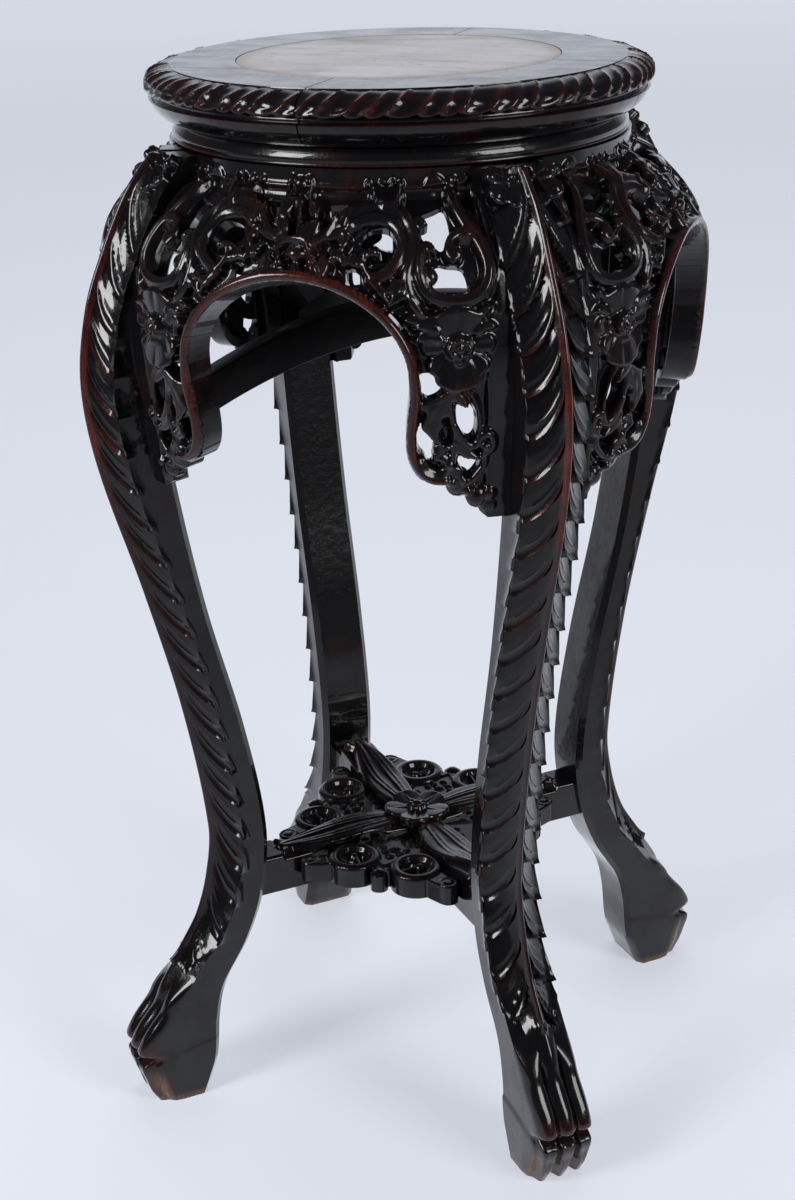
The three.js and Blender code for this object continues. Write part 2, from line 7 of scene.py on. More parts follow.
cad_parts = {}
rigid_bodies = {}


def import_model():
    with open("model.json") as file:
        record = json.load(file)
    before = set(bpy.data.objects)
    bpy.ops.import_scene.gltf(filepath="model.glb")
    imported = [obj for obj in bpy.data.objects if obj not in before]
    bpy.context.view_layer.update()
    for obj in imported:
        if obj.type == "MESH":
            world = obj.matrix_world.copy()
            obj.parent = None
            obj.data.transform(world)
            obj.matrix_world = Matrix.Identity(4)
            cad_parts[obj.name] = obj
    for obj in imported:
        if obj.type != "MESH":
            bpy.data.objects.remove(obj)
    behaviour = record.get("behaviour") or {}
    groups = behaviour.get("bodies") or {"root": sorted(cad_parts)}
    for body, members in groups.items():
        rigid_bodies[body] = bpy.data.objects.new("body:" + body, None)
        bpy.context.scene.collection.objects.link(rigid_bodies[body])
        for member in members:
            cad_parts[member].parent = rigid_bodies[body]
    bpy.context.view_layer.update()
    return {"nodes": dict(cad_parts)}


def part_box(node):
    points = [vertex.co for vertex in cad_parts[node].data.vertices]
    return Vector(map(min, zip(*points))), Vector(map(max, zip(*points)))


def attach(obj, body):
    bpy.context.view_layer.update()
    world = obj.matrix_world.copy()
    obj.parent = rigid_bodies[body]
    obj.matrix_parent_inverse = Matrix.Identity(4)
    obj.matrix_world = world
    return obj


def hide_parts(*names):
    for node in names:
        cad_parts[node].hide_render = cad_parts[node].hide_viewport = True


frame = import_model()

# The view of the photograph: a short portrait lens a little above the top, tilted down towards the floor,
# with the front leg right of the middle.
camera_place = (0.5667, -1.5358, 1.1221)
camera_lens = 59.26
camera_sensor = 36.0
camera_pitch = math.radians(22.671)
camera_heading = math.radians(20.71)
camera_roll = math.radians(1.602)


def add_object(name, data):
    """A new object at the scene's origin."""
    made = bpy.data.objects.new(name, data)
    bpy.context.scene.collection.objects.link(made)
    return made


camera_data = bpy.data.cameras.new("camera")
camera_data.lens = camera_lens
camera_data.sensor_width = camera_sensor
camera = add_object("camera", camera_data)
camera.matrix_world = (
    Matrix.Translation(camera_place)
    @ Matrix.Rotation(camera_heading, 4, "Z")
    @ Matrix.Rotation(math.pi / 2 - camera_pitch, 4, "X")
    @ Matrix.Rotation(-camera_roll, 4, "Z")
)
bpy.context.scene.camera = camera
bpy.context.scene.view_settings.view_transform = "Standard"

# The studio: one seamless pale sheet with a faint violet tint, which runs on far behind the stand. The room
# on the camera's side is darker, so that the faces turned to the camera stay black.
floor_reach = 60.0
floor_colour = (0.40, 0.41, 0.445, 1.0)
floor_rough = 0.7
floor_seen = (0.68, 0.90)
backdrop_colour = (0.655, 0.685, 0.765, 1.0)
backdrop_strength = 1.0
backdrop_toward = (-0.34, 0.935, 0.10)
backdrop_edge = (0.76, 0.94)
room_strength = 0.10
# How strongly the floor glows in reflections near the stand and far from it: a painted reflection on the lacquer.
mirrored_floor = 1.1
mirrored_far = 0.10
lit_middle = Vector((0, 0, 0.5))


def node(tree, kind, settings=(), **inputs):
    """A node in a tree, with its settings and the values or links of its inputs; _1 is the input numbered 1."""
    made = tree.nodes.new(kind)
    for key, value in dict(settings).items():
        setattr(made, key, value)
    for label, value in inputs.items():
        socket = made.inputs[int(label[1:])] if label[1:].isdigit() else made.inputs[label.replace("_", " ")]
        if isinstance(value, bpy.types.NodeSocket):
            tree.links.new(value, socket)
        else:
            socket.default_value = value
    return made


def maths(tree, operation, *values, kind="ShaderNodeMath", clamp=False):
    """The result of a math node, or of a vector math node."""
    made = node(tree, kind, {"operation": operation}, **{f"_{k}": value for k, value in enumerate(values)})
    if clamp:
        made.use_clamp = True
    return made.outputs["Value"]


def mapped(tree, value, low, high, to_low=0.0, to_high=1.0):
    """A value carried evenly from one range to another and held at both ends."""
    made = node(
        tree, "ShaderNodeMapRange", Value=value, From_Min=low, From_Max=high, To_Min=to_low, To_Max=to_high
    )
    return made.outputs["Result"]


def new_finish(name):
    """A node material: the material, its tree and its shader."""
    material = bpy.data.materials.new(name)
    material.use_nodes = True
    return material, material.node_tree, material.node_tree.nodes["Principled BSDF"]


floor_mesh = bpy.data.meshes.new("floor")
floor_corners = [(sx * floor_reach, sy * floor_reach, 0) for sx, sy in ((-1, -1), (1, -1), (1, 1), (-1, 1))]
floor_mesh.from_pydata(floor_corners, [], [(0, 1, 2, 3)])
floor = add_object("floor", floor_mesh)
floor_finish, tree, shader = new_finish("floor_sheet")
shader.inputs["Base Color"].default_value = floor_colour
shader.inputs["Roughness"].default_value = floor_rough
shader.inputs["Emission Color"].default_value = backdrop_colour
place = node(tree, "ShaderNodeTexCoord").outputs["Object"]
ray = node(tree, "ShaderNodeLightPath").outputs
reach = maths(tree, "LENGTH", place, kind="ShaderNodeVectorMath")
toward = maths(tree, "DOT_PRODUCT", place, backdrop_toward, kind="ShaderNodeVectorMath")
# Seen in reflections the floor glows brightest right round the stand and towards the backdrop, and is dim elsewhere: a
# painted reflection that lightens the lower faces of the legs and the feet.
near_by = mapped(tree, reach, 0.25, 1.0, mirrored_floor, mirrored_far)
behind = mapped(tree, toward, 0.1, 0.9, mirrored_far, mirrored_floor)
mirrored = maths(tree, "MULTIPLY", ray["Is Glossy Ray"], maths(tree, "MAXIMUM", near_by, behind))
through = maths(tree, "MAXIMUM", ray["Is Transmission Ray"], mirrored)
to_camera = maths(tree, "MAXIMUM", ray["Is Camera Ray"], through)
lifted = maths(tree, "MULTIPLY", mapped(tree, reach, 0.6, 9.0, *floor_seen), to_camera)
tree.links.new(lifted, shader.inputs["Emission Strength"])
floor_mesh.materials.append(floor_finish)

world = bpy.data.worlds.new("studio")
world.use_nodes = True
tree = world.node_tree
room = tree.nodes["Background"]
room.inputs["Color"].default_value = backdrop_colour
direction = node(tree, "ShaderNodeTexCoord").outputs["Generated"]
toward = maths(tree, "DOT_PRODUCT", direction, backdrop_toward, kind="ShaderNodeVectorMath")
tree.links.new(mapped(tree, toward, *backdrop_edge, room_strength, backdrop_strength), room.inputs["Strength"])
seen = node(tree, "ShaderNodeBackground", Color=backdrop_colour, Strength=backdrop_strength)
path = node(tree, "ShaderNodeLightPath")
choice = node(
    tree,
    "ShaderNodeMixShader",
    Fac=path.outputs["Is Camera Ray"],
    _1=room.outputs["Background"],
    _2=seen.outputs["Background"],
)
tree.links.new(choice.outputs["Shader"], tree.nodes["World Output"].inputs["Surface"])
bpy.context.scene.world = world


def softbox(name, azimuth, distance, height, width, tall, power, mirrored=True):
    """A rectangular studio light at an azimuth round the stand, turned to the middle of the stand."""
    data = bpy.data.lights.new(name, "AREA")
    data.shape = "RECTANGLE"
    data.size = width
    data.size_y = tall
    data.energy = power
    lamp = add_object(name, data)
    lamp.visible_glossy = mirrored
    angle = math.radians(azimuth)
    place = Vector((distance * math.cos(angle), distance * math.sin(angle), height))
    lamp.location = place
    lamp.rotation_euler = (lit_middle - place).to_track_quat("-Z", "Y").to_euler()


softbox("left_softbox", -126, 2.4, 1.7, 0.8, 1.25, 46)
softbox("right_softbox", -20, 2.5, 1.6, 1.0, 1.3, 36)
softbox("rear_softbox", 105, 1.9, 3.8, 3.0, 3.0, 55, False)

# The marble disc, let into the top: a pale stone with a faint warm tint, sawn, honed and a little worn, with
# fine streaks in one direction, small pits and a rim that is stained where it meets the wood.
mm = 0.001
marble_low, marble_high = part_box("marble_disc")
top_height = marble_high.z / mm
marble_bottom = marble_low.z / mm
marble_radius = marble_high.x / mm
marble_bevel = 1.2
marble_around = 240
stained_rim = 13
bump_depth = 0.0006


def make_piece(name, shell, crease=38):
    """A closed mesh from a shell: points in millimetres, an array of quads, a list of end polygons and marks,
    which are values for each point that a finish reads by name. Six times the volume is the sum of a . (b x c)
    over the triangles of all faces; where it is negative the faces are turned. Edges steeper than crease, in
    degrees, stay sharp."""
    points, quads, ends, marks = shell
    points = points.reshape(-1, 3)
    triangles = [quads[:, [0, 1, 2]], quads[:, [0, 2, 3]]]
    triangles += [np.stack([np.full(len(end) - 2, end[0]), end[1:-1], end[2:]], -1) for end in ends]
    a, b, c = points[np.concatenate(triangles)].transpose(1, 0, 2)
    if (a * np.cross(b, c)).sum() < 0:
        quads = quads[:, ::-1]
        ends = [end[::-1] for end in ends]
    corners = np.concatenate([quads.ravel(), *ends])
    sizes = np.concatenate([np.full(len(quads), 4), np.array([len(end) for end in ends], int)])
    mesh = bpy.data.meshes.new(name)
    mesh.vertices.add(len(points))
    mesh.vertices.foreach_set("co", (points * mm).ravel())
    mesh.loops.add(len(corners))
    mesh.loops.foreach_set("vertex_index", corners)
    mesh.polygons.add(len(sizes))
    mesh.polygons.foreach_set("loop_start", np.cumsum(sizes) - sizes)
    mesh.update(calc_edges=True)
    mesh.validate()
    mesh.shade_smooth()
    mesh.set_sharp_from_angle(angle=math.radians(crease))
    for mark, values in marks.items():
        layer = mesh.attributes.new(mark, "FLOAT", "POINT")
        layer.data.foreach_set("value", np.ascontiguousarray(values, float).ravel())
    return add_object(name, mesh)


def dress(piece, finish, slot, *replaced):
    """Gives a piece its finish and lets it stand for CAD nodes. The slot is not used."""
    piece.data.materials.append(finish)
    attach(piece, "root")
    if replaced:
        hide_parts(*replaced)


def ring_shell(rings, **marks):
    """A closed shell from rings of points, each ring closed on itself, with a polygon over the first and over the
    last one."""
    count, across = rings.shape[:2]
    ring = np.arange(count - 1)[:, None]
    step = np.arange(across)[None, :]
    ahead = (step + 1) % across
    corners = [ring * across + step, ring * across + ahead, (ring + 1) * across + ahead, (ring + 1) * across + step]
    ends = [np.arange(across)[::-1], np.arange((count - 1) * across, count * across)]
    return rings, np.stack(corners, -1).reshape(-1, 4), ends, marks


def new_group(name, inputs, outputs):
    """An empty shader node group with named inputs (name, type, value) and outputs (name, type)."""
    group = bpy.data.node_groups.new(name, "ShaderNodeTree")
    for label, kind, value in inputs:
        socket = group.interface.new_socket(name=label, in_out="INPUT", socket_type=kind)
        socket.default_value = value
    for label, kind in outputs:
        group.interface.new_socket(name=label, in_out="OUTPUT", socket_type=kind)
    return group, group.nodes.new("NodeGroupInput"), group.nodes.new("NodeGroupOutput")


def noise(tree, place, scale, detail, **more):
    """The value of a noise at each place."""
    return node(tree, "ShaderNodeTexNoise", Vector=place, Scale=scale, Detail=detail, **more).outputs["Fac"]


def stretched(tree, place, scale, degrees=0):
    """Places scaled for each axis and turned round Z, for streaks."""
    turn = (0, 0, math.radians(degrees))
    return node(tree, "ShaderNodeMapping", Vector=place, Rotation=turn, Scale=scale).outputs["Vector"]


def mixed(tree, share, first, second, blend="MIX"):
    """Two colours mixed by a share."""
    settings = {"data_type": "RGBA", "blend_type": blend}
    return node(tree, "ShaderNodeMix", settings, _0=share, _6=first, _7=second).outputs[2]


def ramp(tree, value, *stops):
    """A colour ramp through (position, colour) stops."""
    made = tree.nodes.new("ShaderNodeValToRGB")
    elements = made.color_ramp.elements
    while len(elements) < len(stops):
        elements.new(0.5)
    for element, (position, colour) in zip(elements, stops):
        element.position = position
        element.color = (*colour, 1)
    tree.links.new(value, made.inputs["Fac"])
    return made.outputs["Color"]


# The shared effect of fine unevenness: brush waves, dust nibs and grain pores, as a height for a bump.
uneven, given, result = new_group(
    "uneven_surface",
    [("Waves", "NodeSocketFloat", 60.0), ("Grain", "NodeSocketFloat", 700.0), ("Grain Share", "NodeSocketFloat", 0.2)],
    [("Height", "NodeSocketFloat")],
)
place = node(uneven, "ShaderNodeTexCoord").outputs["Object"]
waves = noise(uneven, place, given.outputs["Waves"], 2.0)
grain = noise(uneven, place, given.outputs["Grain"], 3.0)
pores = maths(uneven, "MULTIPLY", grain, given.outputs["Grain Share"])
uneven.links.new(maths(uneven, "ADD", waves, pores), result.inputs["Height"])


def unevenness(tree, waves, grain, grain_share):
    """The height that the shared effect puts out."""
    settings = {"node_tree": uneven}
    return node(tree, "ShaderNodeGroup", settings, Waves=waves, Grain=grain, Grain_Share=grain_share).outputs["Height"]


def set_bump(tree, shader, height, strength):
    """Leads a height to the shader's normal."""
    bump = node(tree, "ShaderNodeBump", Height=height, Strength=strength, Distance=bump_depth)
    tree.links.new(bump.outputs["Normal"], shader.inputs["Normal"])


def marble_finish():
    """Honed stone: long pale and grey streaks under a brown veil, small dark pits and a stained rim."""
    material, tree, shader = new_finish("marble")
    place = node(tree, "ShaderNodeTexCoord").outputs["Object"]
    turned = stretched(tree, place, (10, 34, 10), 20)
    body = ramp(
        tree,
        noise(tree, turned, 1.0, 7.0, Roughness=0.62),
        (0.28, (0.30, 0.275, 0.27)),
        (0.45, (0.54, 0.52, 0.53)),
        (0.62, (0.61, 0.60, 0.62)),
        (0.80, (0.45, 0.41, 0.40)),
    )
    veil = ramp(tree, noise(tree, place, 14.0, 5.0), (0.32, (0.78, 0.74, 0.71)), (0.56, (1, 1, 1)))
    pits = ramp(tree, noise(tree, turned, 9.0, 4.0), (0.27, (0.25, 0.22, 0.2)), (0.36, (1, 1, 1)))
    spotted = mixed(tree, 1.0, mixed(tree, 1.0, body, veil, "MULTIPLY"), pits, "MULTIPLY")
    split = node(tree, "ShaderNodeSeparateXYZ", Vector=place)
    flat = node(tree, "ShaderNodeCombineXYZ", X=split.outputs["X"], Y=split.outputs["Y"])
    out = maths(tree, "LENGTH", flat.outputs["Vector"], kind="ShaderNodeVectorMath")
    rim = mapped(tree, out, (marble_radius - stained_rim) * mm, marble_radius * mm, 0.0, 0.7)
    tree.links.new(mixed(tree, rim, spotted, (0.30, 0.22, 0.16, 1)), shader.inputs["Base Color"])
    shader.inputs["Roughness"].default_value = 0.34
    set_bump(tree, shader, unevenness(tree, 30.0, 260.0, 0.5), 0.25)
    return material


def round_points(radius, turn, height):
    """Points at a radius, an angle and a height: (r cos a, r sin a, z)."""
    return np.stack([radius * np.cos(turn), radius * np.sin(turn), height], -1)


def turned_disc(radii, heights, around):
    """A turned piece: every point of the profile carried round the axis. Radii may not be zero."""
    angle = np.linspace(0, 2 * math.pi, around, endpoint=False)
    r, a = np.meshgrid(radii, angle, indexing="ij")
    z = np.repeat(np.asarray(heights, float)[:, None], around, 1)
    return round_points(r, a, z)


marble_stone = marble_finish()
bevel_turn = np.linspace(0, math.pi / 2, 5)
bevel_in, bevel_out = marble_bevel * np.sin(bevel_turn), marble_bevel * np.cos(bevel_turn)
inner_radii = [2, 60, marble_radius - 8]
bevel_start = marble_radius - marble_bevel
marble_radii = np.concatenate([inner_radii, bevel_start + bevel_in, bevel_start + bevel_out, inner_radii[::-1]])
lower, upper = marble_bottom + marble_bevel - bevel_out, top_height - marble_bevel + bevel_in
marble_heights = np.concatenate([[marble_bottom] * 3, lower, upper, [top_height] * 3])
disc = turned_disc(marble_radii, marble_heights, marble_around)
dress(make_piece("marble_top", ring_shell(disc)), marble_stone, "marble", "marble_disc")

# The top frame: four curved pieces of hardwood, glued end to end round the marble. Their edge is carved with
# slanting scoops over a thin lip and a hollow moulding, and all of it is lacquered black and polished.
frame_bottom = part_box("top_frame_front_right")[0].z / mm
frame_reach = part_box("top_frame_front_right")[1].x / mm
frame_inner = marble_radius + 0.3
ledge_top = marble_bottom - 0.3
ledge_width = 18
edge_height = 19.5
edge_flat = 21.5
edge_step = 0.8
lip_height = 18
hollow_set = 25
frame_joint_gap = 0.8
scoop_units = 24
scoop_slant = -0.5
frame_joints = {
    "front_right": ((-91.5, 0), (-3.5, 0)),
    "back_right": ((-3.5, 0), (89, 0)),
    "back_left": ((89, 0), (225, -0.24)),
    "front_left": ((225, -0.24), (268.5, 0)),
}
rings_per_degree = 3.6
scooped_band = 1.5


def smooth_step(value, low, high):
    """0 below low, 1 above high, and t * t * (3 - 2 t) between them."""
    t = np.clip((value - low) / (high - low), 0, 1)
    return t * t * (3 - 2 * t)


def bump_at(value, middle, width):
    """A bell exp(-((v - middle) / width)^2)."""
    return np.exp(-(((value - middle) / width) ** 2))


def bezier(p0, p1, p2, p3, count, last=False):
    """Points of a cubic curve, without its end unless it is the last stretch of an outline."""
    t = np.linspace(0, 1, count, endpoint=last)[:, None]
    p0, p1, p2, p3 = (np.array(p, float) for p in (p0, p1, p2, p3))
    return (1 - t) ** 3 * p0 + 3 * t * (1 - t) ** 2 * p1 + 3 * t * t * (1 - t) * p2 + t**3 * p3


def straight(p0, p1, count):
    """Even points from p0 up to, but without, p1."""
    return np.array(p0, float) + (np.array(p1, float) - p0) * np.linspace(0, 1, count, endpoint=False)[:, None]


def lacquer_finish(name, coat, least_rough):
    """Black lacquer over red-brown hardwood: a coat with brush waves over the stained grain, rubbed through on the
    crests, where the mark worn is high, and down to bare wood where the mark bare is high. Faces that lie flat
    have smears on them. The fibre's colours are ramps from dark to light."""
    material, tree, shader = new_finish(name)
    place = node(tree, "ShaderNodeTexCoord").outputs["Object"]
    worn = node(tree, "ShaderNodeAttribute", {"attribute_name": "worn"}).outputs["Fac"]
    bare = node(tree, "ShaderNodeAttribute", {"attribute_name": "bare"}).outputs["Fac"]
    patches = noise(tree, place, 26.0, 4.0, Roughness=0.6)
    specks = noise(tree, place, 420.0, 3.0)
    fibre = noise(tree, stretched(tree, place, (420, 420, 36)), 1.0, 4.0)
    black = ramp(tree, fibre, (0.3, (0.0024, 0.0024, 0.0034)), (0.7, (0.0046, 0.0038, 0.0046)))
    ruddy = ramp(tree, fibre, (0.3, (0.0060, 0.0030, 0.0030)), (0.7, (0.022, 0.0060, 0.0046)))
    faded = ramp(tree, patches, (0.54, (0, 0, 0)), (0.68, (1, 1, 1)))
    brown = ramp(tree, fibre, (0.3, (0.09, 0.012, 0.006)), (0.7, (0.26, 0.036, 0.014)))
    wood = ramp(tree, fibre, (0.3, (0.11, 0.055, 0.03)), (0.7, (0.30, 0.16, 0.08)))
    worn_here = maths(tree, "MULTIPLY_ADD", patches, 1.7, -0.62)
    speckled = maths(tree, "MULTIPLY_ADD", specks, 0.5, worn_here)
    rubbed = maths(tree, "MULTIPLY", worn, speckled, clamp=True)
    coloured = mixed(tree, rubbed, mixed(tree, faded, black, ruddy), brown)
    tree.links.new(mixed(tree, bare, coloured, wood), shader.inputs["Base Color"])
    gloss = mapped(tree, specks, 0.0, 1.0, least_rough, least_rough + 0.16)
    dull = maths(tree, "MULTIPLY_ADD", rubbed, 0.16, gloss)
    tree.links.new(maths(tree, "MULTIPLY_ADD", bare, 0.35, dull), shader.inputs["Roughness"])
    facing = node(tree, "ShaderNodeSeparateXYZ", Vector=node(tree, "ShaderNodeNewGeometry").outputs["True Normal"])
    lying = mapped(tree, facing.outputs["Z"], 0.97, 0.99)
    smears = noise(tree, stretched(tree, place, (16, 48, 16), -30), 1.0, 6.0, Roughness=0.65)
    lost = maths(tree, "MULTIPLY", lying, mapped(tree, smears, 0.44, 0.64, 0.0, 0.34))
    thinned = maths(tree, "ADD", lost, mapped(tree, patches, 0.44, 0.62, 0.0, 0.3))
    tree.links.new(maths(tree, "MULTIPLY_ADD", thinned, -coat, coat), shader.inputs["Coat Weight"])
    shader.inputs["Specular IOR Level"].default_value = 0.2
    shader.inputs["Coat IOR"].default_value = 1.38
    shader.inputs["Coat Roughness"].default_value = 0.05
    set_bump(tree, shader, maths(tree, "MULTIPLY_ADD", fibre, 0.3, unevenness(tree, 120.0, 620.0, 0.34)), 0.5)
    return material


lacquer = lacquer_finish("lacquered_wood", 1.0, 0.14)


def frame_outline():
    """The section of the frame as (radius, height), from the foot of the hollow moulding round to the ledge, and
    for each point how far it lies up the carved edge, from 0 at the lip's groove to 1 at the flat top."""
    reach, top, low = frame_reach, top_height, frame_bottom
    groove, lip_low, wall_in = reach - 8, low + lip_height, frame_inner - ledge_width
    flat_edge, edge_low, edge_top = reach - edge_flat, top - edge_height, top - edge_step
    foot = (reach - hollow_set, low)
    hollow = bezier(foot, (reach - 12, low + 3), (reach - 6.5, low + 10), (reach - 4, lip_low), 18)
    lip_end = (groove - 0.6, lip_low + 2.6)
    lip = bezier((reach - 4, lip_low), (reach - 2.6, lip_low + 0.4), (reach - 3.0, lip_low + 1.9), lip_end, 6)
    groove_wall = straight(lip_end, (groove - 0.4, edge_low), 3)
    edge = bezier((groove - 0.4, edge_low), (reach + 4.0, edge_low), (reach + 4.0, edge_top), (flat_edge, edge_top), 46)
    step = straight((flat_edge, edge_top), (flat_edge - 0.3, top), 2)
    flat = straight((flat_edge - 0.3, top), (frame_inner, top), 12)
    inner = straight((frame_inner, top), (frame_inner, ledge_top), 4)
    ledge = straight((frame_inner, ledge_top), (wall_in, ledge_top), 3)
    wall = straight((wall_in, ledge_top), (wall_in, low), 4)
    under = straight((wall_in, low), foot, 8)
    outline = np.concatenate([hollow, lip, groove_wall, edge, step, flat, inner, ledge, wall, under])
    up = np.full(len(outline), -1.0)
    start = len(hollow) + len(lip) + len(groove_wall)
    up[start : start + len(edge)] = np.linspace(0, 1, len(edge), endpoint=False)
    return outline, up


def scooped_edge(turn, up):
    """The carving of the edge: every unit of the turn holds one wide and two narrow scoops. Their lower ends are
    round lobes over a plain band; x is the place across a scoop, and its depth follows 4 x (1 - x)."""
    unit = (turn * scoop_units / (2 * math.pi) + scoop_slant * up) % 1
    starts = np.array([0, 0.44, 0.73, 1.0])
    k = np.clip(np.searchsorted(starts, unit, side="right") - 1, 0, 2)
    width = starts[k + 1] - starts[k]
    x = (unit - starts[k]) / width
    arch = 4 * x * (1 - x)
    low_end = 0.13 + 0.12 * (2 * x - 1) ** 2
    inside = smooth_step(up, low_end - 0.01, low_end + 0.05)
    depth = np.where(k == 0, 2.6, 1.7) * arch**0.7 * smooth_step(up, low_end + 0.06, low_end + 0.28)
    depth = depth * (1 - 0.75 * smooth_step(up, 0.72, 1.0))
    lobe = 1.1 * np.sqrt(np.clip(arch, 0, 1)) * bump_at(up, low_end + 0.09, 0.07)
    ridge = np.where((k == 0) & (x < 0.2), 0.9 * (1 - x / 0.2), 0) * smooth_step(up, 0.15, 0.3)
    carved = -scooped_band + inside * scooped_band - depth + lobe + ridge
    rubbed = np.clip(1 - 3.2 * np.minimum(x, 1 - x), 0, 1) * inside + 0.5 * bump_at(up, low_end + 0.08, 0.06)
    return np.where(up >= 0, carved, 0), np.where(up >= 0, rubbed, 0)


def frame_segment(ends):
    """A curved piece: the outline carried from one joint to the next; a joint's angle may change with the radius
    by its lean. The carving moves each point of the edge along the outline's normal."""
    outline, up = frame_outline()
    along = np.roll(outline, -1, 0) - np.roll(outline, 1, 0)
    normal = np.stack([along[:, 1], -along[:, 0]], -1) / np.linalg.norm(along, axis=1)[:, None]
    (first, first_lean), (last, last_lean) = ends
    beyond = outline[:, 0] - frame_inner
    half_gap = frame_joint_gap / 2 / frame_inner
    start = np.radians(first + first_lean * beyond) + half_gap
    stop = np.radians(last + last_lean * beyond) - half_gap
    steps = int(abs(last - first) * rings_per_degree)
    turn = start + (stop - start) * np.linspace(0, 1, steps)[:, None]
    carved, rubbed = scooped_edge(turn, np.broadcast_to(up, turn.shape))
    radius = outline[:, 0] + carved * normal[:, 0]
    height = np.minimum(outline[:, 1] + carved * normal[:, 1], top_height)
    points = round_points(radius, turn, height)
    lip = bump_at(height, frame_bottom + lip_height + 0.8, 1.2) * (radius > frame_reach - 8)
    return points, np.clip(0.22 * rubbed + 0.15 * lip, 0, 1)


for name, ends in frame_joints.items():
    points, rubbed = frame_segment(ends)
    piece = make_piece("frame_" + name, ring_shell(points, worn=rubbed))
    dress(piece, lacquer, "lacquered_wood", "top_frame_" + name)

# The waist: four curved bands between the top frame and the aprons, with a swelling face and a small bead along
# their lower edge, glued up and lacquered like the frame.
waist_low, waist_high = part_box("waist_front")
waist_bottom = waist_low.z / mm
waist_top = waist_high.z / mm
waist_radius = -waist_low.y / mm
waist_width = 30
waist_joints = {"front": (-115, -27), "right": (-27, 63), "back": (63, 153), "left": (153, 245)}
joint_gap = 0.3
waist_rings = 130
waist_bead = 1.5


def waist_outline():
    """The section of the band: a bead below, then a face that swells as a sine."""
    rise = np.linspace(0, 1, 14)
    low = waist_bottom + 3.2
    face = waist_radius - 2.6 + 2.6 * np.sin(math.pi * (0.18 + 0.82 * rise) ** 0.8)
    swelling = np.stack([face - 1.2 * rise, low + (waist_top - low) * rise], -1)
    turn = np.linspace(-math.pi / 2, math.pi / 2, 7)[:-1]
    bead_out, bead_up = waist_bead * np.cos(turn), waist_bead * np.sin(turn)
    bead = np.stack([waist_radius - 1.6 + bead_out, waist_bottom + waist_bead + bead_up], -1)
    inner = waist_radius - waist_width
    return np.concatenate([bead, swelling, [(inner, waist_top), (inner, waist_bottom)]])


for name, (first, last) in waist_joints.items():
    outline = waist_outline()
    half_gap = joint_gap / 2 / (waist_radius - waist_width)
    turn = np.linspace(math.radians(first) + half_gap, math.radians(last) - half_gap, waist_rings)[:, None]
    radius = np.broadcast_to(outline[:, 0], (len(turn), len(outline)))
    height = np.broadcast_to(outline[:, 1], radius.shape)
    rubbed = 0.15 * bump_at(height, waist_bottom + waist_bead, waist_bead)
    piece = make_piece("waist_band_" + name, ring_shell(round_points(radius, turn, height), worn=rubbed))
    dress(piece, lacquer, "lacquered_wood", "waist_" + name)

# The four legs: each is sawn from one thick plank as an S-curve, V-shaped in front with a smooth rib on its
# ridge. Both faces of the V carry a row of overlapping hollow leaves, the top wears a flower, and the foot is
# carved into three toes with blunt claws. They are tenoned into the top frame.
leg_top = waist_bottom - joint_gap
leg_half = 26.0
leg_rib_half = 2.6
leg_top_spread = 3.5
leg_chamfer = 5.0
foot_height = 260
knee_depth = 247
knee_height = leg_top - knee_depth
leg_angles = {"front_left": 225, "front_right": 315, "back_right": 45, "back_left": 135}


def curve_through(points):
    """A function through (place, value) pairs: cubics whose slope at each pair is that between its neighbours."""
    x, y = np.array(points, float).T
    before = np.maximum(np.arange(len(x)) - 1, 0)
    after = np.minimum(np.arange(len(x)) + 1, len(x) - 1)
    slope = (y[after] - y[before]) / (x[after] - x[before])

    def value(at):
        at = np.clip(at, x[0], x[-1])
        k = np.clip(np.searchsorted(x, at, side="right") - 1, 0, len(x) - 2)
        span = x[k + 1] - x[k]
        u = (at - x[k]) / span
        bend = u * (1 - u) * span * ((1 - u) * slope[k] - u * slope[k + 1])
        return y[k] + (y[k + 1] - y[k]) * u * u * (3 - 2 * u) + bend

    return value


def leg_curve(foot, calf, knee):
    """A distance along the leg: the foot by height, the calf by its share of the way up, the knee by depth."""
    stations = list(foot)
    stations += [(foot_height + share * (knee_height - foot_height), value) for share, value in calf]
    stations += [(leg_top - depth, value) for depth, value in knee]
    return curve_through(stations)


ridge_foot = [(0, 92), (12, 99), (25, 103), (40, 107), (47, 101), (54, 108), (60, 107), (72, 100), (92, 84)]
ridge_foot += [(112, 75), (148, 51), (175, 35), (214, 23), (foot_height, 18)]
ridge_knee = [(knee_depth, 90), (177, 98), (117, 89), (73, 72), (28, 49), (0, 26)]
ridge_out = leg_curve(ridge_foot, [(0.34, 34), (0.67, 60)], ridge_knee)
shoulder_fall = leg_curve([(0, 12), (150, 18)], [(0.5, 19)], [(knee_depth, 16), (0, 15)])
back_foot = [(0, 46), (15, 40), (35, 33), (80, 28), (110, 20), (150, -4), (196, -21), (foot_height, -27)]
back_knee = [(knee_depth, 36), (147, 46), (107, 42), (57, 14), (0, -26)]
back_out = leg_curve(back_foot, [(0.29, -12), (0.63, 15)], back_knee)

leaf_pitch = 33.5
leaf_rise = 37.0
leaf_top_rise = 62.0
leaf_section = ([0, 0.42, 0.66, 0.74, 0.86, 0.97, 1.0], [-5.2, -2.4, -2.0, -2.5, -3.0, -1.2, -0.6])
leaf_end = 128.0
leaf_shift = 0.35
toe_pitch = 17.3
toe_depth = 7.0
claw_top = 44
leg_ring_count = 500
leg_points_across = 71
ring_gap = 0.006


def leg_half_at(z):
    """Half the leg's width: it grows from the calf to the shoulder under the top."""
    return leg_half + leg_top_spread * smooth_step(z, 640, 800)


def half_round(x):
    """A half circle sqrt(1 - x^2), and 0 beyond it."""
    return np.sqrt(np.clip(1 - x * x, 0, 1))


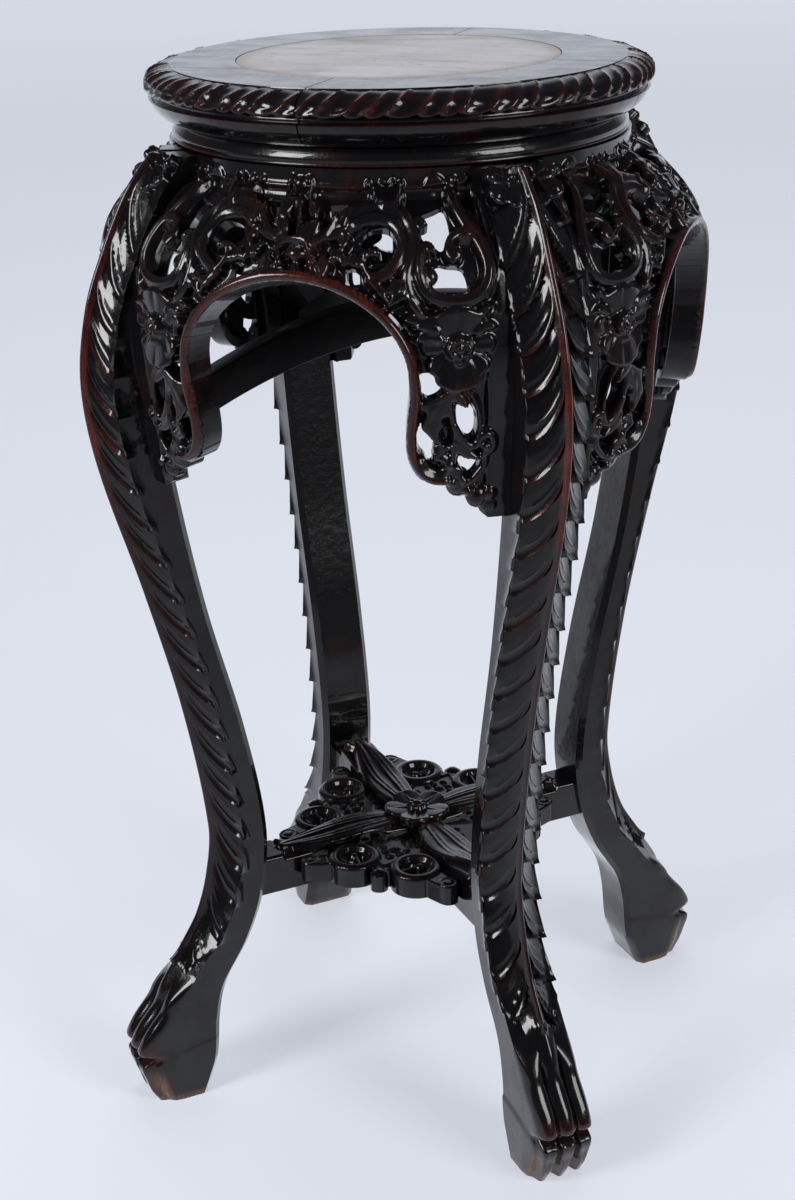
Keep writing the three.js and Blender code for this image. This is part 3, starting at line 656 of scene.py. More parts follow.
def leaf_edge(z, across):
    """The edge of a leaf and the pitch of the row at a height: from its lowest place near the shoulder (v = 1) the
    edge climbs to the rib (v = 0) partly as a quarter ellipse and partly straight, and outwards it rises a little."""
    v = np.clip((np.abs(across) - leg_rib_half) / (leg_half - leg_rib_half), 0, 1)
    upper = smooth_step(z, leg_top - 150, leg_top - 40)
    rise = leaf_rise + (leaf_top_rise - leaf_rise) * upper
    lowest = np.where(across > 0, 1.0, 0.90)
    inner = np.clip((lowest - v) / lowest, 0, 1)
    round_edge = 1 - np.sqrt(1 - inner**2)
    straight_edge = inner * 0.85
    climb = rise * (round_edge + (straight_edge - round_edge) * (0.30 + 0.35 * upper)) * (1.25 - 0.25 * upper)
    return climb + 4 * np.clip((v - lowest) / 0.10, 0, 1) ** 2, leaf_pitch * (1 + 0.25 * upper)


def along_leaves(z, across):
    """The heights of a ring's points: along the leaves a ring keeps its place t in the row, found by repeating
    z' = top + climb(z') - t pitch(z'), so that it runs along the leaves' edges; to both ends it turns level."""
    t = (leg_top - z) / leaf_edge(z, across)[1]
    bent = z
    for _ in range(8):
        climb, pitch = leaf_edge(bent, across)
        bent = leg_top + climb - t * pitch
    share = smooth_step(z, 70, 185) * (1 - smooth_step(z, leg_top - 135, leg_top))
    return z + np.clip(bent - z, 0, 70) * share


def leg_leaves(z, across):
    """The relief of the leaves and rib on the front of the leg, in millimetres, and how rubbed each place is; round the
    knee, near z = 670, the rib and the leaf edges are browner.
    Across a face, v runs from the rib (0) to the shoulder (1); t is the place in the row, whose fraction is 0 under
    one leaf's edge and 1 on the edge of the next."""
    side = np.abs(across)
    v = np.clip((side - leg_rib_half) / (leg_half - leg_rib_half), 0, 1)
    climb, pitch = leaf_edge(z, across)
    t = (leg_top - z + climb) / pitch + np.where(across > 0, 0.0, leaf_shift)
    f = (t + 1e-6) % 1
    edge = 1 - f
    middle = smooth_step(v, 0.04, 0.22) * (1 - smooth_step(v, 0.66, 0.88))
    dish = np.interp(f, *leaf_section)
    scoop = -0.5 * np.sin(math.pi * np.clip(f / 0.64, 0, 1)) * middle
    rim = 0.9 * bump_at(edge * pitch, 0, 1.3) * (1 - 0.7 * smooth_step(v, 0.8, 0.95))
    vein = bump_at((f - 0.66) * pitch, 0, 0.75) * middle
    vein = vein + 0.5 * (across > 0) * bump_at((f - 0.40) * pitch, 0, 0.7) * middle
    dish = dish * (0.75 + 0.25 * smooth_step(v, 0.06, 0.30))
    fade = smooth_step(v, 0.0, 0.10)
    leaf = (dish + scoop + rim + vein) * fade * (1 - 0.45 * smooth_step(v, 0.94, 0.985)) - 0.8 * (1 - fade)
    rib = 2.4 * half_round(side / leg_rib_half)
    relief = np.where(side < leg_rib_half, np.maximum(rib - 0.3, leaf), leaf)
    beyond = smooth_step(v, 0.8, 1.0) * (0.2 + np.where(across > 0, 4.0, 2.4) * f**1.5)
    rubbed = 0.8 * bump_at(edge * pitch, 0, 1.8) * (1 - 0.5 * smooth_step(v, 0.7, 0.9))
    # The rib and the leaf edges turn more brown in a band round the knee, near z = 670, and stay darker above and below
    # it.
    knee_band = bump_at(z, 670, 90)
    rubbed = np.where(side < leg_rib_half + 0.4, 0.12 + 0.8 * knee_band, rubbed * (0.2 + 0.6 * knee_band))
    return relief, beyond, rubbed


def leg_toes(z, across):
    """How far the three toes fall back from the front of the foot: narrow grooves as |cos|^0.5, a rounded end
    above the crease, and blunt claws with a flat front below it."""
    wave = np.abs(np.cos(math.pi * across / toe_pitch))
    toe = toe_depth * (1 - wave**0.5)
    pointed = 1 - smooth_step(z, 4, claw_top)
    claw = 1.1 * toe_depth * (1 - smooth_step(wave, 0.12 + 0.45 * pointed, 0.55 + 0.44 * pointed))
    drop = claw + (toe - claw) * smooth_step(z, claw_top, claw_top + 6)
    rounding = 5.0 * np.clip((np.abs(across) - 20) / 6, 0, 1) ** 2
    outer = 3.2 * np.clip(np.abs(across) / toe_pitch, 0, 1) ** 2
    crease = 3.6 * bump_at(z - (claw_top + 2) - 0.10 * np.abs(across), 0, 2.6)
    return drop + rounding + outer * 0.4 + crease


def leg_surface(z, step):
    """The whole skin of a leg on rings of height z, with x out from the axis: front from shoulder to shoulder,
    two plain sides, and a rear with chamfered edges. Also the marks of wear and of bare wood."""
    across = np.linspace(-leg_half, leg_half, step)
    zz, aa = np.meshgrid(z, across, indexing="ij")
    zz = along_leaves(zz, aa)
    share = np.clip((np.abs(aa) - 1.0) / (leg_half - 1.0), 0, 1)
    toes = 1 - smooth_step(zz, 96, 126)
    v_drop = share * shoulder_fall(zz)
    drop = v_drop + (leg_toes(zz, aa) - v_drop) * toes
    relief, beyond, rubbed = leg_leaves(zz, aa)
    tip = leaf_end - 12 * bump_at(np.abs(aa), 0, 9) + 14 * np.clip(np.abs(np.abs(aa) - 15) / 11, 0, 1)
    carved = smooth_step(zz, tip - 0.9, tip + 0.9)
    end_rise = 1.6 * bump_at(zz, tip, 7) * (zz > tip)
    end_rise = end_rise + 0.9 * bump_at(zz - tip, 1.6, 1.2)
    relief = (relief + end_rise) * carved
    slope = (ridge_out(zz + 1) - ridge_out(zz - 1)) / 2
    steep = np.sqrt(1 + slope**2)
    radius = waist_radius + ridge_out(zz) - drop + relief / steep
    height = zz - relief * slope / steep
    spread = leg_half_at(zz) / leg_half
    front = np.stack([radius, aa * spread + np.sign(aa) * beyond * carved, height], -1)
    rear = waist_radius + back_out(z)
    right, left = [], []
    edge_radius = front[:, -1, 0]
    edge_height = front[:, -1, 2]
    for s in np.linspace(0, 1, 9)[1:]:
        r = edge_radius + (rear + leg_chamfer - edge_radius) * s
        h = edge_height + (z - edge_height) * s
        half = leg_half_at(z) + (front[:, -1, 1] - leg_half_at(z)) * (1 - s) ** 6
        claw = 1 - smooth_step(z, claw_top + 10 * s, claw_top + 4 + 10 * s)
        half = half + 1.2 * claw * smooth_step(s, 0.0, 0.3)
        right.append(np.stack([r, half, h], -1))
        left.append(np.stack([r, -half, h], -1))
    rear_points = [np.stack([rear, (leg_half_at(z) - leg_chamfer) * y, z], -1) for y in np.linspace(1, -1, 8)]
    rings = np.concatenate([front, np.stack(right + rear_points + left[::-1], 1)], 1)
    worn = np.zeros(rings.shape[:2])
    worn[:, :step] = rubbed * carved + (1 - carved) * 0.35 * bump_at(zz, claw_top + 10, 9)
    worn[:, :step] = np.where(zz < 20, 0.5, worn[:, :step])
    bare = np.zeros_like(worn)
    between = 1 - smooth_step(np.abs(np.cos(math.pi * aa / toe_pitch)), 0.35, 0.85)
    bare[:, :step] = 0.7 * (1 - smooth_step(zz, 18, claw_top)) * between
    bare = np.maximum(bare, 0.75 * (1 - smooth_step(rings[..., 2], 1, 8)))
    return rings, worn, bare


def joined(shells):
    """Several closed shells as one: their points, quads, ends and marks, renumbered."""
    start = 0
    points, quads, ends, marks = [], [], [], {"worn": [], "bare": []}
    for shell_points, shell_quads, shell_ends, shell_marks in shells:
        flat = shell_points.reshape(-1, 3)
        points.append(flat)
        quads.append(shell_quads + start)
        ends += [end + start for end in shell_ends]
        for mark, values in marks.items():
            values.append(np.ravel(shell_marks.get(mark, np.zeros(len(flat)))))
        start += len(flat)
    merged = {mark: np.concatenate(values) for mark, values in marks.items()}
    return np.concatenate(points), np.concatenate(quads), ends, merged


# The rings of a leg are even, with a close pair more at each leaf's edge on either face.
leg_heights = np.concatenate([np.linspace(0, 3, 3)[:-1], np.linspace(3, leg_top, leg_ring_count)])
row_places = (leg_top - leg_heights) / leaf_edge(leg_heights, 0 * leg_heights)[1]
leans = (-ring_gap, ring_gap, -leaf_shift - ring_gap, -leaf_shift + ring_gap)
at_edges = np.interp([edge + lean for edge in range(1, 25) for lean in leans], row_places[::-1], leg_heights[::-1])
leg_heights = np.unique(np.concatenate([leg_heights, at_edges[(at_edges > 100) & (at_edges < leg_top - 2)]]))
leg_rings, leg_worn, leg_bare = leg_surface(leg_heights, leg_points_across)
leg_rings[0, :, 2] = 0
leg_rings[:, :, 2] = np.clip(leg_rings[:, :, 2], 0, leg_top)


def turned(shell, degrees, flip=1):
    """A shell turned round the axis of the stand, and mirrored before that where flip is -1."""
    c, s = math.cos(math.radians(degrees)), math.sin(math.radians(degrees))
    x, y, z = np.moveaxis(shell[0] * (flip, 1, 1), -1, 0)
    return np.stack([x * c - y * s, x * s + y * c, z], -1), *shell[1:]


def smooth_line(points, steps=9):
    """A line of points through the given ones: between two of them it is a cubic that leaves each along the
    direction between its neighbours."""
    p = np.array(points, float)
    padded = np.concatenate([[2 * p[0] - p[1]], p, [2 * p[-1] - p[-2]]])
    t = np.linspace(0, 1, steps, endpoint=False)[:, None]
    pieces = []
    for a, b, c, d in zip(padded, padded[1:], padded[2:], padded[3:]):
        pieces.append(
            0.5 * (2 * b + (c - a) * t + (2 * a - 5 * b + 4 * c - d) * t**2 + (3 * b - a - 3 * c + d) * t**3)
        )
    return np.concatenate(pieces + [p[-1:]])


def softened(grid):
    """Each value replaced by the mean of its four neighbours and, with the weight of two, itself."""
    padded = np.pad(grid, 1, mode="edge")
    around = padded[:-2, 1:-1] + padded[2:, 1:-1] + padded[1:-1, :-2] + padded[1:-1, 2:]
    return (around + 2 * grid) / 6


class Carving:
    """A carved board on a grid of places (u, d). Inside is how far a place lies within the wood, negative in an
    opening, and height is how far the surface stands there. Every stroke adds itself by taking the larger value
    of each; past its edge a stroke falls away steeply, so that its flank meets the ground."""

    flank = 2.6
    outside = -9.0
    crest_rub = 0.10
    front_wall = 1.6

    def __init__(self, u_ends, d_ends, step, ground):
        u = np.linspace(*u_ends, round((u_ends[1] - u_ends[0]) / step) + 1)
        d = np.linspace(*d_ends, round((d_ends[1] - d_ends[0]) / step) + 1)
        self.u, self.d = np.meshgrid(u, d, indexing="ij")
        self.inside = np.full(self.u.shape, self.outside)
        self.height = np.full(self.u.shape, float(ground))
        self.rub = np.full(self.u.shape, self.crest_rub)

    def put(self, where, inside, height):
        """Adds a stroke at some places: how far they lie within it, and its height less its falling flank."""
        height = height - self.flank * np.clip(-inside, 0, None)
        self.inside[where] = np.maximum(self.inside[where], inside)
        self.height[where] = np.maximum(self.height[where], height)

    def near(self, points, margin):
        """The grid places in the rectangle round some points."""
        low, high = np.min(points, 0) - margin, np.max(points, 0) + margin
        return (self.u > low[0]) & (self.u < high[0]) & (self.d > low[1]) & (self.d < high[1])

    def follow(self, points, margin):
        """Near a smooth line: the grid places, their distance from it, and the share of its length."""
        line = smooth_line(points)
        where = self.near(line, margin)
        u, d = self.u[where][:, None], self.d[where][:, None]
        reach = np.hypot(*np.diff(line, axis=0).T)
        share = np.concatenate([[0], np.cumsum(reach)]) / reach.sum()
        a = line[:-1]
        du, dd = (line[1:] - a).T
        t = np.clip(((u - a[:, 0]) * du + (d - a[:, 1]) * dd) / (du**2 + dd**2 + 1e-12), 0, 1)
        distance = np.hypot(u - a[:, 0] - t * du, d - a[:, 1] - t * dd)
        k = distance.argmin(1)
        rows = np.arange(len(k))
        return where, distance[rows, k], share[k] + t[rows, k] * (share[k + 1] - share[k])

    def band(self, points, width, lift, grooves=0):
        """A scroll band: half round across, with a groove down its middle or one on either side."""
        where, distance, _ = self.follow(points, width)
        half = width / 2
        x = distance / half
        crown = lift - 4.0 + 4.0 * half_round(x)
        if grooves == 1:
            crown = crown - 1.3 * bump_at(x, 0, 0.3)
        if grooves == 2:
            crown = crown - 1.7 * bump_at(x, 0.4, 0.26)
        self.put(where, half - distance, crown)

    def leaf(self, points, width, lift, lobes=0, vein=1.0):
        """A leaf along its midrib: its half width is a sine of the share of its length, cut into lobes; it is
        hollowed beside the vein, its rim is raised and its tip curls up."""
        where, distance, share = self.follow(points, width)
        half = width / 2 * np.sin(math.pi * np.clip(share, 0.02, 0.985) ** 0.8) ** 0.75
        if lobes:
            half = half * (1 + 0.22 * np.cos(2 * math.pi * lobes * share))
        half = np.maximum(half, 0.35)
        x = distance / half
        body = lift - 2.6 + 2.6 * half_round(x) + 0.9 * share**2
        vein = vein * smooth_step(half, 1.6, 4.0)
        body = body - vein * bump_at(x, 0, 0.3) - 0.4 * vein * bump_at(x, 0.55, 0.25)
        if lobes:
            body = body - 0.5 * (0.5 - 0.5 * np.cos(2 * math.pi * (lobes * share - 0.8 * x))) * (x < 1)
        self.put(where, half - distance, body)

    def bead(self, middle, radius, lift, ring=0.0, tall=1.0):
        """A round bead, or a ball in a ring where ring is the width of the groove round it; tall stretches it."""
        where = self.near([middle], radius * max(1, tall) + 2)
        distance = np.hypot(self.u[where] - middle[0], (self.d[where] - middle[1]) / tall)
        x = distance / radius
        dome = lift - radius * 0.8 + radius * 0.8 * half_round(x)
        if ring:
            dome = lift - 0.6 - 1.6 * bump_at(x, 0.62, ring) - 2.4 * np.clip(x - 0.85, 0, None) ** 2 * 20
        self.put(where, radius - distance, dome)

    def petal(self, root, toward, length, spread, lift, facets=2):
        """A cupped petal: a sector that fans out from its root, with a round end. It rises to its rim as a power
        of the distance from the root, and has shallow creases along its length."""
        root, toward = np.array(root, float), np.array(toward, float)
        axis = toward / np.hypot(*toward)
        where = self.near([root, root + axis * length], spread + 3)
        x, y = self.u[where] - root[0], self.d[where] - root[1]
        along = x * axis[0] + y * axis[1]
        across = -x * axis[1] + y * axis[0]
        share = np.clip(along / length, 0, 1)
        half = spread * (0.30 + 0.70 * np.sin(math.pi / 2 * np.clip(share * 1.25, 0, 1)))
        half = half * np.sqrt(np.clip(1 - np.clip((share - 0.55) / 0.45, 0, 1) ** 2.4, 0, 1)) + 0.2
        edge = np.minimum(half - np.abs(across), np.minimum(along, length - along))
        crown = lift - 4.6 + 4.6 * share**1.5 - 1.6 * np.clip(1 - edge / 1.6, 0, 1) ** 2 - 0.9 * (across / half) ** 2
        crown = crown - 1.0 * (1 - np.abs(np.sin(math.pi * facets * across / (2 * spread)))) ** 2 * share
        self.put(where, edge, crown)

    def shell(self, place, thickness):
        """The board as a closed shell: cells whose middle lies in the wood, a front at the height, a back at the
        thickness behind the face, and walls with a row of points close behind the front. The rim's points are
        moved onto the edge of the wood, down the slope of inside, so the openings are smooth."""
        f = self.inside
        for _ in range(2):
            self.height = softened(self.height)
        middle = (f[:-1, :-1] + f[1:, :-1] + f[:-1, 1:] + f[1:, 1:]) / 4
        keep = middle > 0
        count = np.zeros(f.shape, int)
        for i in (0, 1):
            for j in (0, 1):
                count[i : f.shape[0] - 1 + i, j : f.shape[1] - 1 + j] += keep
        used = count > 0
        step = self.u[1, 0] - self.u[0, 0]
        fu, fd = np.gradient(f, step)
        move = -f / np.maximum(fu**2 + fd**2, 0.05)
        length = np.abs(move) * np.hypot(fu, fd)
        move = np.where((count < 4) & (length < 1.5 * step), move * np.minimum(1, 0.7 * step / (length + 1e-9)), 0)
        move_u, move_d = move * fu, move * fd
        move_u[[0, -1], :] = 0
        move_d[:, [0, -1]] = 0
        u, d = self.u + move_u, self.d + move_d
        blurred = self.height
        for _ in range(8):
            blurred = softened(blurred)
        crest = np.clip((self.height - blurred) / 0.9, 0, 1) * smooth_step(self.height, -1.5, 1.5)
        number = np.full(f.shape, -1)
        number[used] = np.arange(used.sum())
        total = used.sum()
        i, j = np.nonzero(keep)
        corners = [number[i, j], number[i + 1, j], number[i + 1, j + 1], number[i, j + 1]]
        quads = [np.stack(corners, -1), np.stack(corners[::-1], -1) + total]
        around = np.pad(keep, 1)
        sides = [((0, -1), 0, 1), ((1, 0), 1, 2), ((0, 1), 2, 3), ((-1, 0), 3, 0)]
        loose = []
        for (di, dj), near_end, far_end in sides:
            open_side = ~around[1 + i + di, 1 + j + dj]
            a, b = corners[near_end][open_side], corners[far_end][open_side]
            loose.append(np.stack([a, b], -1))
        rim = np.unique(np.concatenate(loose))
        second = np.zeros(total, int)
        second[rim] = np.arange(len(rim)) + 2 * total
        for pair in loose:
            a, b = pair.T
            quads.append(np.stack([b, a, second[a], second[b]], -1))
            quads.append(np.stack([second[b], second[a], a + total, b + total], -1))
        front = place(u[used], d[used], self.height[used])
        back = place(u[used], d[used], np.broadcast_to(-np.asarray(thickness, float), f.shape)[used])
        below = place(u[used][rim], d[used][rim], self.height[used][rim] - self.front_wall)
        worn = np.concatenate([(crest * self.rub)[used], np.zeros(total + len(rim))])
        return np.concatenate([front, back, below]), np.concatenate(quads), [], {"worn": worn}


cap_step = 0.6
cap_tilt = math.radians(39)
cap_radius = waist_radius + 28.5
cap_height = 845.0
cap_thickness = 9.0
cap_lift = 2.2


def on_cap(u, d, out):
    """The flower's own plane on the slope of the leg's top: u to the side, d down the slope, out along its normal."""
    radius = cap_radius + d * math.sin(cap_tilt) + out * math.cos(cap_tilt)
    height = cap_height - d * math.cos(cap_tilt) + out * math.sin(cap_tilt)
    return np.stack([np.maximum(radius, waist_radius + 0.6), u, height], -1)


def carve_cap():
    """The flower on the leg's top: a long lower petal, curled side petals and a knot of stamens."""
    board = Carving((-34, 34), (-17, 24), cap_step, -4.0)
    board.petal((0, 2), (0, 1), 19, 10, cap_lift)
    petals = [(3, 2, 0.75, 1, 19, 8), (5, 0, 1, 0.28, 26, 9), (4, -3, 1, -0.42, 26, 8.5), (3, -4, 0.35, -1, 12, 7)]
    knobs = [(25, -9, 4.0, 2.6), (24, 6, 3.4, 2.0), (8, -6, 2.4, 3.4), (4.4, -1.4, 2.2, 4.0)]
    for side in (1, -1):
        for u, d, toward_u, toward_d, length, spread in petals:
            board.petal((side * u, d), (side * toward_u, toward_d), length, spread, cap_lift)
        for u, d, radius, lift in knobs:
            board.bead((side * u, d), radius, lift)
    board.bead((0, -5), 2.6, 4.2)
    board.bead((0, 1.6), 2.4, 3.8)
    board.height = np.maximum(board.height, -3.0)
    return board


cap_shell = carve_cap().shell(on_cap, cap_thickness)
for name, angle in leg_angles.items():
    shell = joined([ring_shell(leg_rings, worn=leg_worn, bare=leg_bare), cap_shell])
    piece = make_piece("carved_leg_" + name, turned(shell, angle))
    dress(piece, lacquer, "lacquered_wood", "leg_" + name)

# The aprons: each is a bowed board between two legs, sawn to an arch and pierced, with two ears glued on below.
# Scrolls, sprays of leaves, beads and flowers are carved over the ground, and a round moulding follows the arch.
apron_top = leg_top
apron_plan_radius = 250.0
apron_thickness = 23.0
pierced_thickness = 12.0
apron_ground = -6.5
ear_joint = 120.0
flower_middle = 127
flower_knot = 118.5
arch_half = 90.0
arch_crown = 71.0
arch_spring = 142.0
carving_step = 1.02
moulding_width = 7.4
plate_rise = 4.5
frieze_lip = 1.8
face_swell = [(0, 2), (12, 2), (15.5, 4), (19, 12), (26, 22), (37, 33), (52, 46), (68, 56), (92, 63)]
face_swell += [(ear_joint, 66), (157, 65), (197, 60.5), (232, 57), (270, 54)]
face_out = curve_through(face_swell)


def on_face(u, d, out):
    """The bowed face: u is the arc from the middle at the plan radius, d the drop below the top edge, and out the
    height over the face along its normal. The sides stop at the flanks of the legs."""
    slope = (face_out(d + 1) - face_out(d - 1)) / 2
    length = np.sqrt(1 + slope**2)
    radius = waist_radius + face_out(d) + out / length
    limit = math.pi / 4 - np.arcsin((leg_half_at(apron_top - d) + 0.2) / radius)
    angle = np.clip(u / apron_plan_radius, -limit, limit) - math.pi / 2
    z = np.minimum(apron_top - d + out * slope / length, apron_top)
    return round_points(radius, angle, z)


def both_sides(points):
    """A stroke's points, and their mirror image across the middle of the apron."""
    return [points, [(-u, d) for u, d in points]]


def arch_line(half, rise, count):
    """The right half of the arch, from its crown down: a quarter of an ellipse."""
    return [(half * math.sin(a), arch_spring - rise * math.cos(a)) for a in np.linspace(0, math.pi / 2, count)]


ear_inner_edge = [(90, 157), (87.5, 176), (86.6, 190), (87.6, 203), (91.5, 214), (98.5, 222), (107, 226), (116, 227)]
right_edge = arch_line(arch_half, arch_spring - arch_crown, 20) + list(smooth_line(ear_inner_edge, 4))
arch_opening = [(-u, d) for u, d in right_edge[::-1]] + right_edge[1:] + [(116, 300), (-116, 300)]
mould = moulding_width / 2
moulding_line = arch_line(arch_half + mould, arch_spring - arch_crown + mould, 8)
moulding_line += [(94.4, 157), (92, 176), (91, 190), (92, 201), (95.4, 210.5), (101, 217.2), (108, 221), (116, 222)]

# The openings of the right half of an apron, from its middle out to the leg and down to the ear's foot.
opening_shapes = {
    "under_frieze": [(20, 20), (38, 18.5), (50, 19.5), (44, 24), (36, 26), (26, 30)],
    "scroll_eye": [(52, 43), (57, 37), (66, 35), (76, 36), (82, 42), (82, 49), (77, 56), (70, 55), (60, 51)],
    "above_arch": [(43, 61), (49, 60.5), (54, 64), (54, 74), (48, 72.5), (44, 71)],
    "beside_arch": [(75, 92), (83, 93), (86, 98), (86, 104), (79, 102)],
    "beside_leg": [
        (103, 27), (117, 23.5), (125, 21.5), (128, 27), (128.5, 37), (126, 46), (121, 51), (112, 46), (104, 41),
    ],
    "ring_eye": [
        (110, 60), (116, 58.5), (122, 60), (132, 61.5), (135.5, 66), (137.5, 76), (136, 83), (126, 82), (115, 81.5),
        (107, 76),
    ],
    "ear_top": [
        (97.5, 138), (108, 138.5), (112, 146), (118.5, 151), (117, 157), (113, 161), (106, 160), (99.5, 157), (99, 147),
    ],
    "ear_inner": [
        (99, 173), (105, 178), (107, 190), (115, 189.5), (117, 194), (110, 199), (106, 208), (101, 206), (95, 197),
        (94.5, 188), (96, 179),
    ],
    "ear_outer": [
        (126, 161), (131, 163), (137, 164), (141, 172), (142, 181), (139, 188), (135, 190.5), (129, 186),
        (125.5, 178), (125, 169),
    ],
    "ear_foot": [(129, 200), (135, 202), (143, 205), (143, 212), (139, 220), (132, 223.5), (129, 219), (126.5, 211)],
}


def outline_distance(u, d, points):
    """How far places lie inside a closed outline; outside it the distance is negative."""
    a = np.array(points, float)
    b = np.roll(a, -1, 0)
    best = np.full(u.shape, 1e9)
    inside = np.zeros(u.shape, bool)
    for (au, ad), (bu, bd) in zip(a, b):
        du, dd = bu - au, bd - ad
        t = np.clip(((u - au) * du + (d - ad) * dd) / (du * du + dd * dd + 1e-12), 0, 1)
        best = np.minimum(best, np.hypot(u - au - t * du, d - ad - t * dd))
        if ad != bd:
            crosses = ((ad > d) != (bd > d)) & (u < au + (d - ad) * du / dd)
            inside ^= crosses
    return np.where(inside, best, -best)


def carve_ground(board, outline):
    """The ground of the board: the outline less the openings, raised to a plain plate beside the legs and to a
    plain frieze with a lip along the top."""
    inside = outline_distance(board.u, board.d, outline)
    for shape in opening_shapes.values():
        for points in both_sides(shape):
            rounded = smooth_line(points + points[:1], 4)[:-1]
            where = board.near(rounded, 12)
            inside[where] = np.minimum(inside[where], -outline_distance(board.u[where], board.d[where], rounded))
    side = np.abs(board.u)
    plate = smooth_step(side, 146, 151) * smooth_step(board.d, 84, 96)
    plate = np.maximum(plate, smooth_step(side, 155, 159))
    frieze = 1 - smooth_step(board.d, 14.6, 16.2)
    lip = frieze_lip * bump_at(board.d, 13.4, 1.5)
    board.inside = inside
    board.height = (apron_ground + plate_rise * plate) * (1 - frieze) + lip * (board.d < 16)


def carve_strokes(board, bands, leaves, beads, mirrored=True, widen=1.2):
    """Scroll bands (points, width, lift, grooves), leaves (points, width, lift, lobes) and beads (middle, radius,
    lift and, for some, ring and tall), with their mirror images across the middle."""
    for points, width, lift, grooves in bands:
        for line in both_sides(points)[: 1 + mirrored]:
            board.band(line, width * widen, lift, grooves)
    for points, width, lift, lobes in leaves:
        for line in both_sides(points)[: 1 + mirrored]:
            board.leaf(line, width, lift, lobes)
    for middle, *sizes in beads:
        for line in both_sides([middle])[: 1 + mirrored]:
            board.bead(line[0], *sizes)


def carve_scrolls(board):
    """The scroll work of the right half and its mirror image, in the upper board."""
    bands = [
        ([(8, 44.5), (18, 43), (28, 37), (38, 30), (48, 25.5), (60, 23.5)], 5.0, 2.6, 1),
        ([(14, 45.5), (24, 43), (36, 39), (46, 34.5), (55, 30.5)], 4.0, 2.0, 1),
        (
            [(46, 34.5), (52, 31), (59, 29.3), (69, 29), (78.5, 31.5), (85.5, 38), (88, 46), (86, 54), (80, 61)]
            + [(71, 66.5), (64, 68)],
            7.2, 3.2, 2,
        ),
        (
            [(57, 23.6), (75, 23.6), (88, 27.5), (95.5, 36), (97.2, 47), (93.8, 57), (90.5, 67), (92, 77), (97, 86)],
            7.0, 3.0, 2,
        ),
        (
            [(134, 13), (136, 24), (142, 35), (149.5, 45), (153.6, 57), (153, 69), (147.5, 79), (137, 84.6)]
            + [(123, 85.3), (110, 81.5), (102.5, 73), (100, 62), (101.5, 51)],
            8.4, 3.4, 2,
        ),
        ([(141, 42), (133, 41.5), (126, 45.5), (123, 52), (126, 57.5)], 5.0, 3.0, 1),
        ([(66, 68), (60, 63), (58, 56), (62, 52)], 4.0, 2.2, 0),
    ]
    leaves = [
        ([(91, 80), (96, 88), (103, 95)], 6.5, 3.4, 0),
        ([(96, 33), (103, 33), (109, 35)], 8.0, 1.6, 0),
        ([(100, 49), (108, 48), (114, 52)], 7.0, 1.2, 0),
        ([(71, 25), (65, 16), (57, 12.5)], 9.0, 4.2, 0),
        ([(72, 25), (71, 15), (68, 8.5)], 7.0, 5.0, 0),
        ([(73, 25), (77, 15), (80, 7.5)], 8.0, 5.0, 0),
        ([(74, 25), (82, 18), (89, 12.5)], 10.0, 4.6, 0),
        ([(110, 13), (120, 9), (131, 12)], 10.0, 3.0, 0),
        ([(62, 66), (69, 74), (76, 84)], 7.0, 2.6, 3),
        ([(90, 70), (82, 73), (74, 78)], 9.0, 1.6, 2),
        ([(91, 80), (83, 81), (76, 88)], 8.0, 1.4, 2),
        ([(114, 100), (101, 97), (87, 97)], 10.0, 1.6, 1),
        ([(114, 106), (104, 102), (95, 103)], 7.5, 2.6, 0),
        ([(116, 113), (106, 109), (95, 112)], 10.0, 1.8, 1),
        ([(139, 109), (147, 104), (155, 105)], 9.0, 1.8, 1),
        ([(139, 100), (146, 94), (152, 90)], 8.0, 1.6, 1),
        ([(46, 33), (40, 26), (35, 27)], 6.0, 2.6, 0),
        ([(38, 37), (42, 44), (38, 50)], 6.0, 1.2, 0),
        ([(56, 60), (49, 56), (42, 58)], 8.0, 1.6, 2),
        ([(30, 49), (37, 52), (42, 60)], 8.0, 1.0, 2),
    ]
    beads = [
        ((44, 34.5), 3.6, 4.2), ((129, 53.6), 4.8, 4.0, 0.13), ((107.5, 67), 6.6, 1.0), ((58.5, 53), 3.0, 3.4),
        ((63, 51), 2.4, 3.0), ((68, 51.5), 2.6, 3.0), ((56, 10.5), 2.2, 5.0), ((68.5, 15.5), 1.8, 4.2),
        ((88, 11), 2.2, 5.6), ((33, 54.5), 2.2, 2.4), ((40, 55), 3.2, 1.6), ((139, 10), 3.4, 3.6),
        ((150, 10), 3.2, 3.4), ((145, 10.5), 9.5, 2.6, 0.0, 0.5),
    ]
    carve_strokes(board, bands, leaves, beads)


